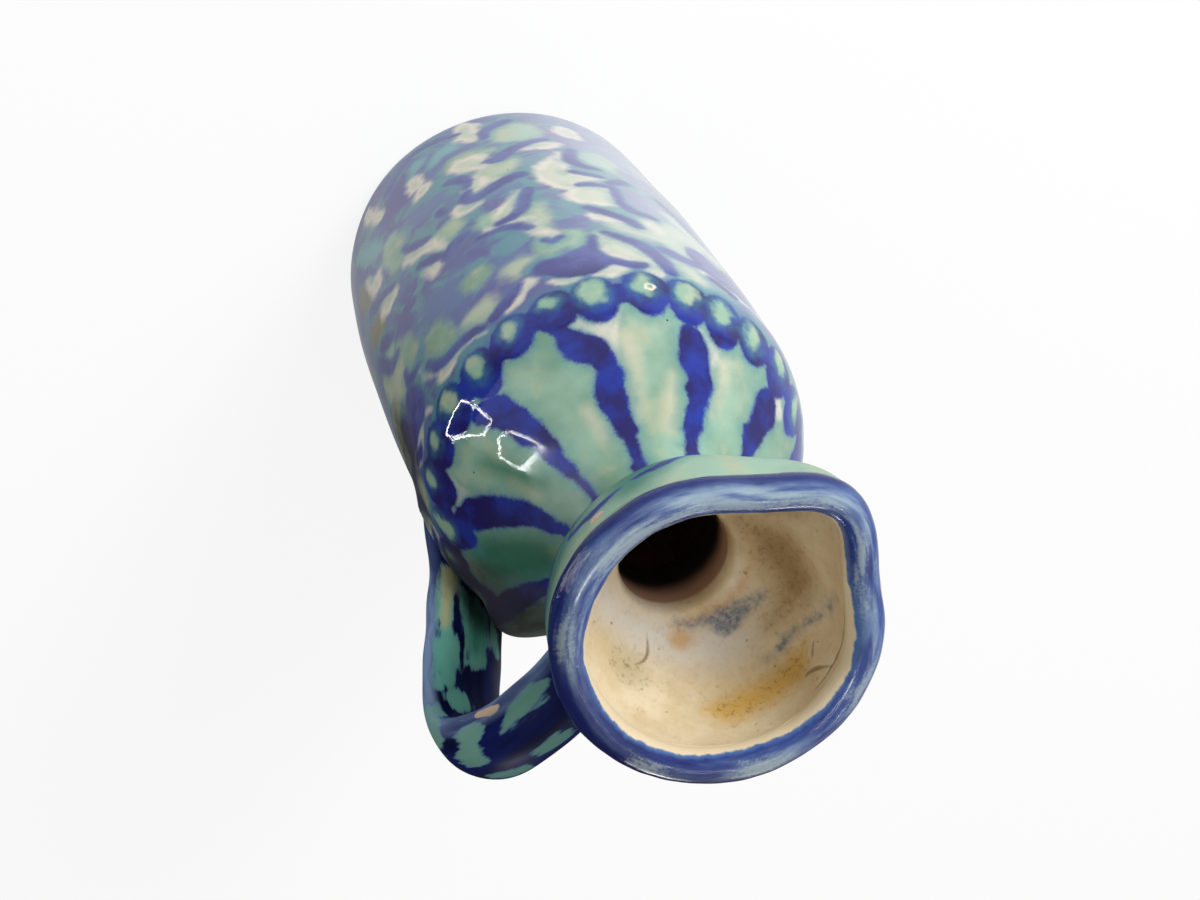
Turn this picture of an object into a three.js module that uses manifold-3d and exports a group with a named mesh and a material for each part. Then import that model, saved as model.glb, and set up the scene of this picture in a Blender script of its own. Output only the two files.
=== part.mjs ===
// A hand-thrown, glazed earthenware jug: a tall, nearly straight body, a domed shoulder,
// a narrow throat that opens into a cup-shaped mouth with a rolled rim and a pulled lip,
// and a strap handle from the cup to the shoulder.
//
// It is modelled as the potter builds it, from separately made sections that are luted
// together: floor slab, thrown wall, shoulder section, cup, rim roll, pulled strap with its
// two roots, and the soft coils that seal the seams. Millimetres, +Z up, origin at the
// centre of the flat underside, handle towards +X.
import * as THREE from 'three';
import { mergeVertices } from 'three/addons/utils/BufferGeometryUtils.js';
import Module from 'manifold-3d';

// Slip film between two luted pieces
const SEAM = 0.3;

// Floor slab and thrown body wall
const BELLY_RADIUS = 66.2;
const BELLY_HEIGHT = 56;
const FOOT_INSET = 1.2;
const FOOT_ROUNDING_RADIUS = 4;
const FLOOR_THICKNESS = 8;
const EDGE_INSET = 4.2;
const WALL_HEIGHT = 172;
const WALL_THICKNESS = 7;
const THROWING_RIDGES = 6;
const RIDGE_DEPTH = 0.8;

// Shoulder section, up to the seat of the neck
const SHOULDER_HEIGHT = 47;
const SHOULDER_SWELL_HEIGHT = 20;
const SHOULDER_TOP_RUN_LENGTH = 17;
const SHOULDER_TOP_FALL_HEIGHT = 16;
const SHOULDER_THICKNESS = 6.5;

// Throat and cup of the mouth
const THROAT_RADIUS = 16.2;
const THROAT_LENGTH = 17;
const SHELF_RADIUS = 18;
const SHELF_HEIGHT = 6;
const WAIST_RADIUS = 24.3;
const WAIST_HEIGHT = 16;
const CUP_RADIUS = 44;
const CUP_HEIGHT = 41;
const CUP_FLARE_LOW_HEIGHT = 8;
const CUP_FLARE_TOP_HEIGHT = 11;
const CUP_TAPER_DEPTH = 1.5;
const CUP_THICKNESS = 6.5;
const BOWL_FLOOR_LENGTH = 12;
const BOWL_FLOOR_HEIGHT = 5;
const BOWL_SIDE_HEIGHT = 19;

// Rolled rim, its oval plan, its lean and its pulled pouring lip
const ROLL_RADIUS = 4.9;
const ROLL_SEAT_RATIO = 0.74;
const ROLL_INSET_DEPTH = 0.5;
const RIM_OVAL_DEPTH = 0.8;
const RIM_OVAL_ANGLE = -11;
const RIM_LEAN_ANGLE = 4.6;
const RIM_LEAN_DIRECTION_ANGLE = 106;
const LIP_LENGTH = 6.9;
const LIP_HALF_ANGLE = 29;
const LIP_FADE_RATIO = 1.1;
const LIP_DIRECTION_ANGLE = -173;

// Strap handle: it leaves the cup, arches out to its reach and runs down into the body's edge
const STRAP_TOP_WIDTH = 24;
const STRAP_FOOT_WIDTH = 33;
const STRAP_THICKNESS = 11.5;
const STRAP_REACH_LENGTH = 19.8;
const STRAP_TOP_DEPTH = 26;
const STRAP_ARCH_HEIGHT = 7;
const STRAP_BEND_DEPTH = 37.5;
const STRAP_BEND_HEIGHT = 13.5;
const STRAP_FALL_HEIGHT = 11;
const STRAP_FOOT_HEIGHT = 49;
const STRAP_FOOT_DROP_HEIGHT = 40;
const STRAP_FOOT_DEPTH = 8;
const STRAP_FULLNESS_RATIO = 0.8;
const STRAP_WIDE_RATIO = 0.5;
const TOP_ROOT_LENGTH = 25;
const TOP_FLARE_LENGTH = 30;
const FOOT_ROOT_LENGTH = 52;
const TOP_FLARE_RATIO = 1.1;
const FOOT_FLARE_RATIO = 1.5;
const FOOT_SWELL_RATIO = 1.7;

// Soft coils pressed into the seams
const FLOOR_COIL_RADIUS = 6;
const SHOULDER_COIL_RADIUS = 4;
const SHOULDER_COIL_THICKNESS = 2;
const NECK_COIL_HEIGHT = 12;
const NECK_COIL_WIDTH = 5.7;

// Facets
const TURNS = 48;
const RIM_TURNS = 60;
const CURVE_STEPS = 6;
const STRAP_STEPS = 22;
const ROOT_STEPS = 8;
const STRAP_SIDES = 14;

// Places that follow from the sections
const footRadius = BELLY_RADIUS - FOOT_INSET;
const edgeRadius = BELLY_RADIUS - EDGE_INSET;
const shoulderTop = WALL_HEIGHT + SHOULDER_HEIGHT;
const shoulderTopRadius = WAIST_RADIUS + NECK_COIL_WIDTH;
const waistTop = shoulderTop + WAIST_HEIGHT;
const cupTop = waistTop + CUP_HEIGHT;
const rimSeat = cupTop + SEAM;
const rimCentre = rimSeat + ROLL_SEAT_RATIO * ROLL_RADIUS;

const glaze = (color, roughness) => new THREE.MeshStandardMaterial({ color, roughness, metalness: 0 });
const patternedGlaze = glaze(0x5f8f9a, 0.18);
const blueGlaze = glaze(0x23348c, 0.2);
const greenGlaze = glaze(0x5b9a86, 0.2);
const bareClay = glaze(0xb98d62, 0.85);
const slipClay = glaze(0xd8c4a0, 0.6);

const { degToRad, lerp, smoothstep } = THREE.MathUtils;
const point = (radius, height) => new THREE.Vector2(radius, height);

// Radius of the thrown wall's outside: fullest at the belly, easing in to the foot and the edge.
function wallRadius(height) {
  const below = height < BELLY_HEIGHT;
  const reach = below ? BELLY_HEIGHT : WALL_HEIGHT - BELLY_HEIGHT;
  const fall = below ? FOOT_INSET : EDGE_INSET;
  return BELLY_RADIUS - fall * ((height - BELLY_HEIGHT) / reach) ** 2;
}

// The shoulder leaves the wall along the wall's own slope and closes in to the neck's seat.
function shoulderCurve() {
  const slope = (-2 * EDGE_INSET) / (WALL_HEIGHT - BELLY_HEIGHT);
  return new THREE.CubicBezierCurve(
    point(edgeRadius, WALL_HEIGHT),
    point(edgeRadius + slope * SHOULDER_SWELL_HEIGHT, WALL_HEIGHT + SHOULDER_SWELL_HEIGHT),
    point(shoulderTopRadius + SHOULDER_TOP_RUN_LENGTH, shoulderTop - SHOULDER_TOP_FALL_HEIGHT),
    point(shoulderTopRadius, shoulderTop),
  );
}

// The cup's outside swells out of the waist and stands nearly upright below the rim.
function cupCurve() {
  return new THREE.CubicBezierCurve(
    point(WAIST_RADIUS, waistTop),
    point(WAIST_RADIUS, waistTop + CUP_FLARE_LOW_HEIGHT),
    point(CUP_RADIUS - CUP_TAPER_DEPTH, waistTop + CUP_FLARE_TOP_HEIGHT),
    point(CUP_RADIUS, cupTop),
  );
}

// The cup's inside opens from the shelf round the throat to the rim.
function bowlCurve() {
  const inner = CUP_RADIUS - CUP_THICKNESS;
  const shelf = shoulderTop + THROAT_LENGTH + SHELF_HEIGHT;
  return new THREE.CubicBezierCurve(
    point(SHELF_RADIUS, shelf),
    point(SHELF_RADIUS + BOWL_FLOOR_LENGTH, shelf + BOWL_FLOOR_HEIGHT),
    point(inner - ROLL_INSET_DEPTH, cupTop - BOWL_SIDE_HEIGHT),
    point(inner, cupTop),
  );
}

// Points of a curve moved sideways by a distance, to the left of the way the curve runs.
function offsetCurve(curve, distance) {
  const points = [];
  for (let i = 0; i <= CURVE_STEPS; i++) {
    const t = i / CURVE_STEPS;
    const along = curve.getTangent(t);
    points.push(curve.getPoint(t).add(point(-along.y, along.x).multiplyScalar(distance)));
  }
  return points;
}

function heightsBetween(low, high, steps) {
  return Array.from({ length: steps + 1 }, (_, i) => low + ((high - low) * i) / steps);
}

// Only positions are kept, with shared corners merged, so that the surface is closed.
function weld(geometry) {
  geometry.deleteAttribute('normal');
  geometry.deleteAttribute('uv');
  return mergeVertices(geometry, 1e-4);
}

// Turns a profile of (radius, height) points about the jug's axis. One that leaves the axis is closed.
function revolve(profile, turns = TURNS) {
  const points = THREE.ShapeUtils.area(profile) > 0 ? [...profile] : [...profile].reverse();
  if (points[0].x > 0) points.push(points[0].clone());
  return weld(new THREE.LatheGeometry(points, turns).rotateX(Math.PI / 2));
}

const wasm = await Module();
wasm.setup();

function solidFrom(geometry) {
  const vertProperties = new Float32Array(geometry.getAttribute('position').array);
  const triVerts = new Uint32Array(geometry.index.array);
  return new wasm.Manifold(new wasm.Mesh({ numProp: 3, vertProperties, triVerts }));
}

function geometryFrom(solid) {
  const { vertProperties, triVerts } = solid.getMesh();
  const geometry = new THREE.BufferGeometry();
  geometry.setAttribute('position', new THREE.BufferAttribute(vertProperties, 3));
  geometry.setIndex(new THREE.BufferAttribute(triVerts, 1));
  return geometry;
}

// How far the soft mouth was pushed out at a bearing: a slight oval, and the lip with pinched sides.
function mouthPush(bearing) {
  const offLip = bearing - degToRad(LIP_DIRECTION_ANGLE);
  const away = Math.atan2(Math.sin(offLip), Math.cos(offLip)) / degToRad(LIP_HALF_ANGLE);
  const lip = LIP_LENGTH * (1 - away ** 2) * Math.exp(-LIP_FADE_RATIO * away ** 2);
  return lip - RIM_OVAL_DEPTH * Math.cos(2 * (bearing - degToRad(RIM_OVAL_ANGLE)));
}

// Shapes the thrown mouth by hand: nothing moves at the waist, all of it at the rim.
function shapeMouth(geometry) {
  const lean = Math.tan(degToRad(RIM_LEAN_ANGLE));
  const towards = degToRad(RIM_LEAN_DIRECTION_ANGLE);
  const position = geometry.getAttribute('position');
  for (let i = 0; i < position.count; i++) {
    const x = position.getX(i);
    const y = position.getY(i);
    const z = position.getZ(i);
    const share = smoothstep(z, waistTop, cupTop);
    const push = 1 + (share * mouthPush(Math.atan2(y, x))) / Math.hypot(x, y);
    const rise = share * lean * (x * Math.cos(towards) + y * Math.sin(towards));
    position.setXYZ(i, x * push, y * push, z + rise);
  }
  return geometry;
}

// Floor slab: a flat disc with a rounded outer edge, which the jug stands on.
function floorSlab() {
  const round = FOOT_ROUNDING_RADIUS;
  const edge = new THREE.EllipseCurve(footRadius - round, round, round, round, -Math.PI / 2, 0);
  return revolve([
    point(0, 0),
    ...edge.getPoints(CURVE_STEPS / 2),
    point(wallRadius(FLOOR_THICKNESS), FLOOR_THICKNESS),
    point(0, FLOOR_THICKNESS),
  ]);
}

// The wall's inside, from the floor up, with the potter's finger ridges.
function ridgedInside() {
  return heightsBetween(FLOOR_THICKNESS + SEAM, WALL_HEIGHT, 2 * THROWING_RIDGES).map((h, i) => {
    const ridge = i % 2 ? RIDGE_DEPTH : 0;
    return point(wallRadius(h) - WALL_THICKNESS + ridge, h);
  });
}

// Thrown wall: smooth outside, ridged inside.
function thrownWall() {
  const outside = heightsBetween(FLOOR_THICKNESS + SEAM, WALL_HEIGHT, CURVE_STEPS);
  return revolve([...outside.map((h) => point(wallRadius(h), h)), ...ridgedInside().reverse()]);
}

// Shoulder section: the dome that closes the body in to the neck, of even thickness.
function shoulderDome() {
  const curve = shoulderCurve();
  const outside = curve.getPoints(CURVE_STEPS);
  const inside = offsetCurve(curve, SHOULDER_THICKNESS).reverse();
  outside[0].y += SEAM;
  inside[inside.length - 1].set(edgeRadius - WALL_THICKNESS, WALL_HEIGHT + SEAM);
  inside[0].set(THROAT_RADIUS + SHOULDER_THICKNESS / 2, shoulderTop);
  return revolve([...outside, ...inside]);
}

// Outside of throat and cup, from the seat on the shoulder to the top.
function cupOutside() {
  const stub = point(WAIST_RADIUS, shoulderTop + SEAM);
  return [stub, ...cupCurve().getPoints(CURVE_STEPS)];
}

// Throat and cup in one thrown piece, with a small shelf round the throat's top.
function mouthCup() {
  const low = shoulderTop + SEAM;
  const bowl = bowlCurve().getPoints(CURVE_STEPS).reverse();
  const throat = [point(THROAT_RADIUS, shoulderTop + THROAT_LENGTH), point(THROAT_RADIUS, low)];
  return shapeMouth(revolve([...cupOutside(), ...bowl, ...throat], RIM_TURNS));
}

// Rim roll: a round bead with a flat seat on the cup's top edge.
function rimRoll() {
  const centre = CUP_RADIUS - CUP_THICKNESS / 2 - ROLL_INSET_DEPTH;
  const tilt = Math.asin(ROLL_SEAT_RATIO);
  const bead = new THREE.EllipseCurve(centre, rimCentre, ROLL_RADIUS, ROLL_RADIUS, -tilt, Math.PI + tilt);
  return shapeMouth(revolve(bead.getPoints(2 * CURVE_STEPS), RIM_TURNS));
}

// Centre line of the strap, in the plane of the handle: an arching arm and a falling grip.
function strapLine() {
  const spot = (x, z) => new THREE.Vector3(x, 0, z);
  const top = cupTop - STRAP_TOP_DEPTH;
  const bend = cupTop - STRAP_BEND_DEPTH;
  const reach = edgeRadius + STRAP_REACH_LENGTH;
  const foot = WALL_HEIGHT - STRAP_FOOT_DROP_HEIGHT;
  const line = new THREE.CurvePath();
  line.add(new THREE.CubicBezierCurve3(
    spot(CUP_RADIUS - STRAP_THICKNESS, top),
    spot(CUP_RADIUS + STRAP_THICKNESS, top + STRAP_ARCH_HEIGHT),
    spot(reach, bend + STRAP_BEND_HEIGHT),
    spot(reach, bend),
  ));
  line.add(new THREE.CubicBezierCurve3(
    spot(reach, bend),
    spot(reach, bend - STRAP_FALL_HEIGHT),
    spot(wallRadius(foot), foot + STRAP_FOOT_HEIGHT),
    spot(wallRadius(foot) - STRAP_FOOT_DEPTH, foot),
  ));
  return line;
}

// Squares the ovals a little, so that the strap keeps its thickness towards its edges.
const fuller = (value) => Math.sign(value) * Math.abs(value) ** STRAP_FULLNESS_RATIO;

// A stretch of the strap: a loft of flattened ovals that widen to the roots and curl round the body.
function strapStretch(line, from, to, steps) {
  const length = line.getLength();
  const corners = [];
  for (let i = 0; i <= steps; i++) {
    const at = from + ((to - from) * i) / steps;
    const centre = line.getPointAt(at);
    const along = line.getTangentAt(at);
    const footward = smoothstep(at * length, length - FOOT_ROOT_LENGTH, length);
    const topward = 1 - smoothstep(at * length, 0, TOP_FLARE_LENGTH);
    const flare = 1 + (FOOT_FLARE_RATIO - 1) * footward + (TOP_FLARE_RATIO - 1) * topward;
    const width = lerp(STRAP_TOP_WIDTH, STRAP_FOOT_WIDTH, smoothstep(at, 0, STRAP_WIDE_RATIO));
    const halfWidth = (width / 2) * flare;
    const halfThick = (STRAP_THICKNESS / 2) * lerp(1, FOOT_SWELL_RATIO, footward);
    for (let side = 0; side < STRAP_SIDES; side++) {
      const turn = (2 * Math.PI * side) / STRAP_SIDES;
      const y = halfWidth * fuller(Math.cos(turn));
      const thick = halfThick * fuller(Math.sin(turn));
      const curl = (footward * y * y) / (2 * edgeRadius);
      corners.push(centre.x - along.z * thick - curl, y, centre.z + along.x * thick);
    }
  }
  const faces = [];
  for (let i = 0; i < steps; i++) {
    for (let side = 0; side < STRAP_SIDES; side++) {
      const a = i * STRAP_SIDES + side;
      const b = i * STRAP_SIDES + ((side + 1) % STRAP_SIDES);
      faces.push(a, b, a + STRAP_SIDES, b, b + STRAP_SIDES, a + STRAP_SIDES);
    }
  }
  const last = steps * STRAP_SIDES;
  for (let side = 1; side < STRAP_SIDES - 1; side++) {
    faces.push(0, side + 1, side, last, last + side, last + side + 1);
  }
  const geometry = new THREE.BufferGeometry();
  geometry.setAttribute('position', new THREE.Float32BufferAttribute(corners, 3));
  geometry.setIndex(faces);
  return geometry;
}

// What the handle's roots are cut to fit: the outsides of body, shoulder and cup, a seam larger.
function outsideWithSeam() {
  const body = heightsBetween(0, WALL_HEIGHT, CURVE_STEPS).map((h) => point(wallRadius(h) + SEAM, h));
  const dome = offsetCurve(shoulderCurve(), -SEAM).slice(1);
  const lower = revolve([point(0, 0), ...body, ...dome, point(0, shoulderTop + SEAM)]);
  const cup = cupOutside().map((p) => point(p.x + SEAM, p.y));
  const upper = shapeMouth(revolve([point(0, shoulderTop), ...cup, point(0, cupTop)], RIM_TURNS));
  return solidFrom(lower).add(solidFrom(upper));
}

function handlePieces() {
  const line = strapLine();
  const length = line.getLength();
  const top = TOP_ROOT_LENGTH / length;
  const foot = 1 - FOOT_ROOT_LENGTH / length;
  const film = SEAM / length;
  const outside = outsideWithSeam();
  const fitted = (geometry) => geometryFrom(solidFrom(geometry).subtract(outside));
  return {
    strap: strapStretch(line, top + film, foot - film, STRAP_STEPS),
    upperRoot: fitted(strapStretch(line, 0, top, ROOT_STEPS)),
    lowerRoot: fitted(strapStretch(line, foot, 1, ROOT_STEPS)),
  };
}

// Soft coil in the inside corner of floor and wall: its back clears the ridged wall, its face is hollow.
function floorCoil() {
  const low = FLOOR_THICKNESS + SEAM;
  const round = FLOOR_COIL_RADIUS;
  const [corner, ridge] = ridgedInside();
  const high = corner.clone().lerp(ridge, round / (ridge.y - corner.y));
  const back = Math.min(corner.x, high.x) - SEAM;
  const face = new THREE.EllipseCurve(back - round, low + round, round, round, -Math.PI / 2, 0);
  return revolve([point(back, low), ...face.getPoints(CURVE_STEPS / 2).reverse()]);
}

// Soft coil pressed over the inside seam of wall and shoulder: its back follows both.
function shoulderCoil() {
  const back = edgeRadius - WALL_THICKNESS - SEAM;
  const above = offsetCurve(shoulderCurve(), SHOULDER_THICKNESS)[1];
  const slope = (above.x - edgeRadius + WALL_THICKNESS) / (above.y - WALL_HEIGHT);
  const face = new THREE.EllipseCurve(
    back, WALL_HEIGHT, SHOULDER_COIL_THICKNESS, SHOULDER_COIL_RADIUS, Math.PI / 2, (3 * Math.PI) / 2,
  );
  const leaning = face.getPoints(CURVE_STEPS);
  leaning.forEach((p) => {
    p.x += slope * Math.max(0, p.y - WALL_HEIGHT);
  });
  return revolve([point(back, WALL_HEIGHT), ...leaning]);
}

// Soft coil that rounds the outside corner where the neck stands on the shoulder.
function neckCoil() {
  const inner = WAIST_RADIUS + SEAM;
  const low = shoulderTop + SEAM;
  const face = new THREE.EllipseCurve(
    inner + NECK_COIL_WIDTH, low + NECK_COIL_HEIGHT, NECK_COIL_WIDTH, NECK_COIL_HEIGHT,
    Math.PI, (3 * Math.PI) / 2,
  );
  return revolve([point(inner, low), ...face.getPoints(CURVE_STEPS / 2).reverse()]);
}

const jug = new THREE.Group();

function place(name, geometry, material) {
  const mesh = new THREE.Mesh(geometry, material);
  mesh.name = name;
  jug.add(mesh);
}

const handle = handlePieces();
place('floor_slab', floorSlab(), bareClay);
place('body_wall', thrownWall(), patternedGlaze);
place('shoulder_dome', shoulderDome(), patternedGlaze);
place('mouth_cup', mouthCup(), greenGlaze);
place('rim_roll', rimRoll(), blueGlaze);
place('handle_strap', handle.strap, greenGlaze);
place('handle_upper_root', handle.upperRoot, greenGlaze);
place('handle_lower_root', handle.lowerRoot, greenGlaze);
place('floor_luting_coil', floorCoil(), slipClay);
place('shoulder_luting_coil', shoulderCoil(), slipClay);
place('neck_luting_coil', neckCoil(), greenGlaze);

export default jug;
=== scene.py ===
import math

import bmesh
import bpy
import numpy as np
from mathutils import Matrix, Vector
from mathutils.kdtree import KDTree


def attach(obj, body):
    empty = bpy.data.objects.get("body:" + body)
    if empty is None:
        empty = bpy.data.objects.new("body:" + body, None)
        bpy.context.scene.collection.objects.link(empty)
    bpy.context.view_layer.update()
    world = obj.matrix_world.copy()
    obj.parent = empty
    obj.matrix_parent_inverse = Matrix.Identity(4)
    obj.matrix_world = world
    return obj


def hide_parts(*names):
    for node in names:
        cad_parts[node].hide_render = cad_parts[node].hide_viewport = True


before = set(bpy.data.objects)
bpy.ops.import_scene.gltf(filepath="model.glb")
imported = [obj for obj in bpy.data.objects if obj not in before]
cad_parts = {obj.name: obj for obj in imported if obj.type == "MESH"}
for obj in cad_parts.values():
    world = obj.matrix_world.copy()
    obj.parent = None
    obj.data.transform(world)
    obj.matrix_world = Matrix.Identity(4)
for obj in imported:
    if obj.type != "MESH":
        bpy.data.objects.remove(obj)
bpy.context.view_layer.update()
scene = bpy.context.scene
scene.view_settings.view_transform = "Standard"
mm = 0.001
rad = math.pi / 180
tiny = 1e-9  # keeps divisions safe
print("frame loaded")

# the jug stands, so the camera is rolled instead
cameraSettings = dict(
    place=(-63.745, -247.622, 610.195), turn=(-26.72587, -14.08393, 138.91983),
    lens=48.0, sensor=36.0, clip=0.01,
)
camera = bpy.data.objects.new("photoCamera", bpy.data.cameras.new("photoCamera"))
camera.data.lens = cameraSettings["lens"]
camera.data.sensor_width = cameraSettings["sensor"]
camera.data.clip_start = cameraSettings["clip"]
camera.location = Vector(cameraSettings["place"]) * mm
camera.rotation_euler = [angle * rad for angle in cameraSettings["turn"]]
scene.collection.objects.link(camera)
scene.camera = camera
print("camera set")


def bezier(a, b, c, d, count):
    t = np.linspace(0, 1, count)[:, None]
    a, b, c, d = (np.array(p, float) for p in (a, b, c, d))
    return (1 - t) ** 3 * a + 3 * t * (1 - t) ** 2 * b + 3 * t * t * (1 - t) * c + t ** 3 * d


def arc(middle, radius, start, end, count):
    turn = np.linspace(start, end, count) * rad
    return np.stack([middle[0] + radius * np.cos(turn), middle[1] + radius * np.sin(turn)], 1)


def runAlong(line):
    return np.concatenate([[0], np.cumsum(np.hypot(*np.diff(line, axis=0).T))])


def smoothStep(low, high, value):
    t = np.clip((value - low) / (high - low), 0, 1)
    return t * t * (3 - 2 * t)


def wrapped(angle):
    return (angle + 180) % 360 - 180


def swell(angle, middle, half):
    # 1 at the middle angle, fading to both sides
    return np.exp(-(wrapped(angle - middle) / half) ** 2)


def softNoise(points, size, seed, waves=14):
    rng = np.random.default_rng(seed)
    ways = rng.normal(size=(waves, 3))
    ways /= np.linalg.norm(ways, axis=1)[:, None]
    ways *= 2 * math.pi / size * rng.uniform(0.6, 1.4, (waves, 1))
    phase = rng.uniform(0, 2 * math.pi, waves)
    return np.sin(points @ ways.T + phase).sum(1) / math.sqrt(waves)


def azimuth(co):
    return np.degrees(np.arctan2(co[..., 1], co[..., 0]))


def fromAxis(co):
    return np.hypot(co[..., 0], co[..., 1])


def pushed(co, amount):
    # moved away from the axis by mm
    grow = 1 + amount / np.maximum(fromAxis(co), 1)
    return co * np.stack([grow, grow, np.ones_like(grow)], -1)


def rounded(path, closed, steps=4):
    # Catmull-Rom through the given points
    p = np.array(path, float)
    if closed:
        before, start, after, later = (np.roll(p, shift, 0) for shift in (1, 0, -1, -2))
    else:
        ends = np.vstack([2 * p[0] - p[1], p, 2 * p[-1] - p[-2]])
        before, start, after, later = ends[:-3], ends[1:-2], ends[2:-1], ends[3:]
    out = []
    for t in np.arange(steps) / steps:
        out.append(0.5 * (2 * start + (after - before) * t
                          + (2 * before - 5 * start + 4 * after - later) * t * t
                          + (3 * start - before - 3 * after + later) * t ** 3))
    out = np.stack(out, 1).reshape(-1, p.shape[1])
    return out if closed else np.vstack([out, p[-1:]])


fieldReach = 9.0  # mm, fields are clamped this far outside their shapes


class Surface:
    # where each vertex sits on its piece: turn (degrees or mm), run along the profile (mm), mm per unit of turn
    def __init__(self, turn, run, scale, loop=None):
        self.turn, self.run, self.scale, self.loop = turn, run, scale, loop

    def blank(self):
        return np.full(len(self.turn), -fieldReach)

    def near(self, path):
        middle = 0.5 * (path[:, 0].min() + path[:, 0].max())
        turn = self.turn
        if self.loop:
            turn = middle + (turn - middle + self.loop / 2) % self.loop - self.loop / 2
        side = np.abs(turn - middle) - np.ptp(path[:, 0]) / 2
        keep = (side * self.scale < fieldReach)
        keep &= (self.run > path[:, 1].min() - fieldReach) & (self.run < path[:, 1].max() + fieldReach)
        where = np.flatnonzero(keep)
        dx = (path[None, :, 0] - turn[where, None]) * self.scale[where, None]
        dy = path[None, :, 1] - self.run[where, None]
        return where, dx, dy

    def shape(self, field, outline, grow=0.0):
        # how deep each vertex lies inside a closed outline
        path = rounded(outline, True)
        where, dx, dy = self.near(path)
        nx, ny = np.roll(dx, -1, 1), np.roll(dy, -1, 1)
        ex, ey = nx - dx, ny - dy
        t = np.clip(-(dx * ex + dy * ey) / (ex * ex + ey * ey + tiny), 0, 1)
        away = np.sqrt(((dx + t * ex) ** 2 + (dy + t * ey) ** 2).min(1))
        cut = dx - dy * ex / np.where(ey == 0, tiny, ey)
        inside = (((dy > 0) != (ny > 0)) & (cut > 0)).sum(1) % 2 == 1
        field[where] = np.maximum(field[where], np.where(inside, away, -away) + grow)

    def stroke(self, field, path):
        # the same for a brush stroke, whose points carry a half width
        path = rounded(path, False)
        where, dx, dy = self.near(path)
        ex, ey = np.diff(dx), np.diff(dy)
        t = np.clip(-(dx[:, :-1] * ex + dy[:, :-1] * ey) / (ex * ex + ey * ey + tiny), 0, 1)
        away = np.sqrt((dx[:, :-1] + t * ex) ** 2 + (dy[:, :-1] + t * ey) ** 2)
        half = path[None, :-1, 2] + t * np.diff(path[:, 2])[None]
        field[where] = np.maximum(field[where], (half - away).max(1))


def storeFields(piece, fields):
    for name, values in fields.items():
        attribute = piece.data.attributes.new(name, "FLOAT", "POINT")
        attribute.data.foreach_set("value", np.asarray(values, np.float32))


def storeGrain(piece, values):
    attribute = piece.data.attributes.new("grain", "FLOAT_VECTOR", "POINT")
    attribute.data.foreach_set("vector", np.asarray(values * mm, np.float32).ravel())


def corners(piece):
    co = np.empty(len(piece.data.vertices) * 3)
    piece.data.vertices.foreach_get("co", co)
    return co.reshape(-1, 3) / mm


def setCorners(piece, co):
    piece.data.vertices.foreach_set("co", np.asarray(co * mm, np.float32).ravel())
    piece.data.update()


def newPiece(name, points, edges=(), faces=()):
    mesh = bpy.data.meshes.new(name)
    mesh.from_pydata(points, edges, faces)
    piece = bpy.data.objects.new(name, mesh)
    scene.collection.objects.link(piece)
    return piece


def faceOutward(mesh, weld=0.0):
    tidy = bmesh.new()
    tidy.from_mesh(mesh)
    if weld:
        bmesh.ops.remove_doubles(tidy, verts=tidy.verts, dist=weld)
    bmesh.ops.recalc_face_normals(tidy, faces=tidy.faces)
    tidy.to_mesh(mesh)
    tidy.free()


# the potter's wheel turns a profile
wheelSettings = dict(radius=50.0, turns=420, weld=1e-6, sharp=30.0)


def wheelTree():
    tree = bpy.data.node_groups.new("pottersWheel", "GeometryNodeTree")
    face = tree.interface
    inputs = {"Profile": "Geometry", "Turns": "Int", "Wheel Radius": "Float", "Glaze": "Material"}
    for name, kind in inputs.items():
        face.new_socket(name, in_out="INPUT", socket_type="NodeSocket" + kind)
    face.new_socket("Piece", in_out="OUTPUT", socket_type="NodeSocketGeometry")
    nodes, link = tree.nodes, tree.links.new
    source, target = nodes.new("NodeGroupInput"), nodes.new("NodeGroupOutput")
    line, circle, sweep, smooth, real, coat = (nodes.new("GeometryNode" + kind) for kind in (
        "MeshToCurve", "CurvePrimitiveCircle", "CurveToMesh", "SetShadeSmooth", "RealizeInstances",
        "SetMaterial"))
    link(source.outputs["Profile"], line.inputs["Mesh"])
    link(source.outputs["Turns"], circle.inputs["Resolution"])
    link(source.outputs["Wheel Radius"], circle.inputs["Radius"])
    link(circle.outputs["Curve"], sweep.inputs["Curve"])
    link(line.outputs["Curve"], sweep.inputs["Profile Curve"])
    link(sweep.outputs["Mesh"], smooth.inputs["Geometry"])
    link(smooth.outputs["Geometry"], real.inputs["Geometry"])
    link(real.outputs["Geometry"], coat.inputs["Geometry"])
    link(source.outputs["Glaze"], coat.inputs["Material"])
    link(coat.outputs["Geometry"], target.inputs["Piece"])
    return tree


wheel = wheelTree()


def throwPiece(name, profile, closed, glaze):
    # profile: (radius, height) in mm, drawn where the wheel's circle passes
    s = wheelSettings
    points = [((r - s["radius"]) * mm, -z * mm, 0) for r, z in profile]
    edges = [(i, i + 1) for i in range(len(points) - 1)]
    if closed:
        edges.append((len(points) - 1, 0))
    piece = newPiece(name, points, edges)
    line = piece.data
    modifier = piece.modifiers.new("wheel", "NODES")
    modifier.node_group = wheel
    settings = {"Turns": s["turns"], "Wheel Radius": s["radius"] * mm, "Glaze": glaze}
    for item in wheel.interface.items_tree:
        if item.name in settings:
            modifier[item.identifier] = settings[item.name]
    ready = piece.evaluated_get(bpy.context.evaluated_depsgraph_get())
    solid = bpy.data.meshes.new_from_object(ready)
    piece.modifiers.remove(modifier)
    piece.data = solid
    bpy.data.meshes.remove(line)
    faceOutward(solid, s["weld"])
    solid.set_sharp_from_angle(angle=s["sharp"] * rad)
    return piece


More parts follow.
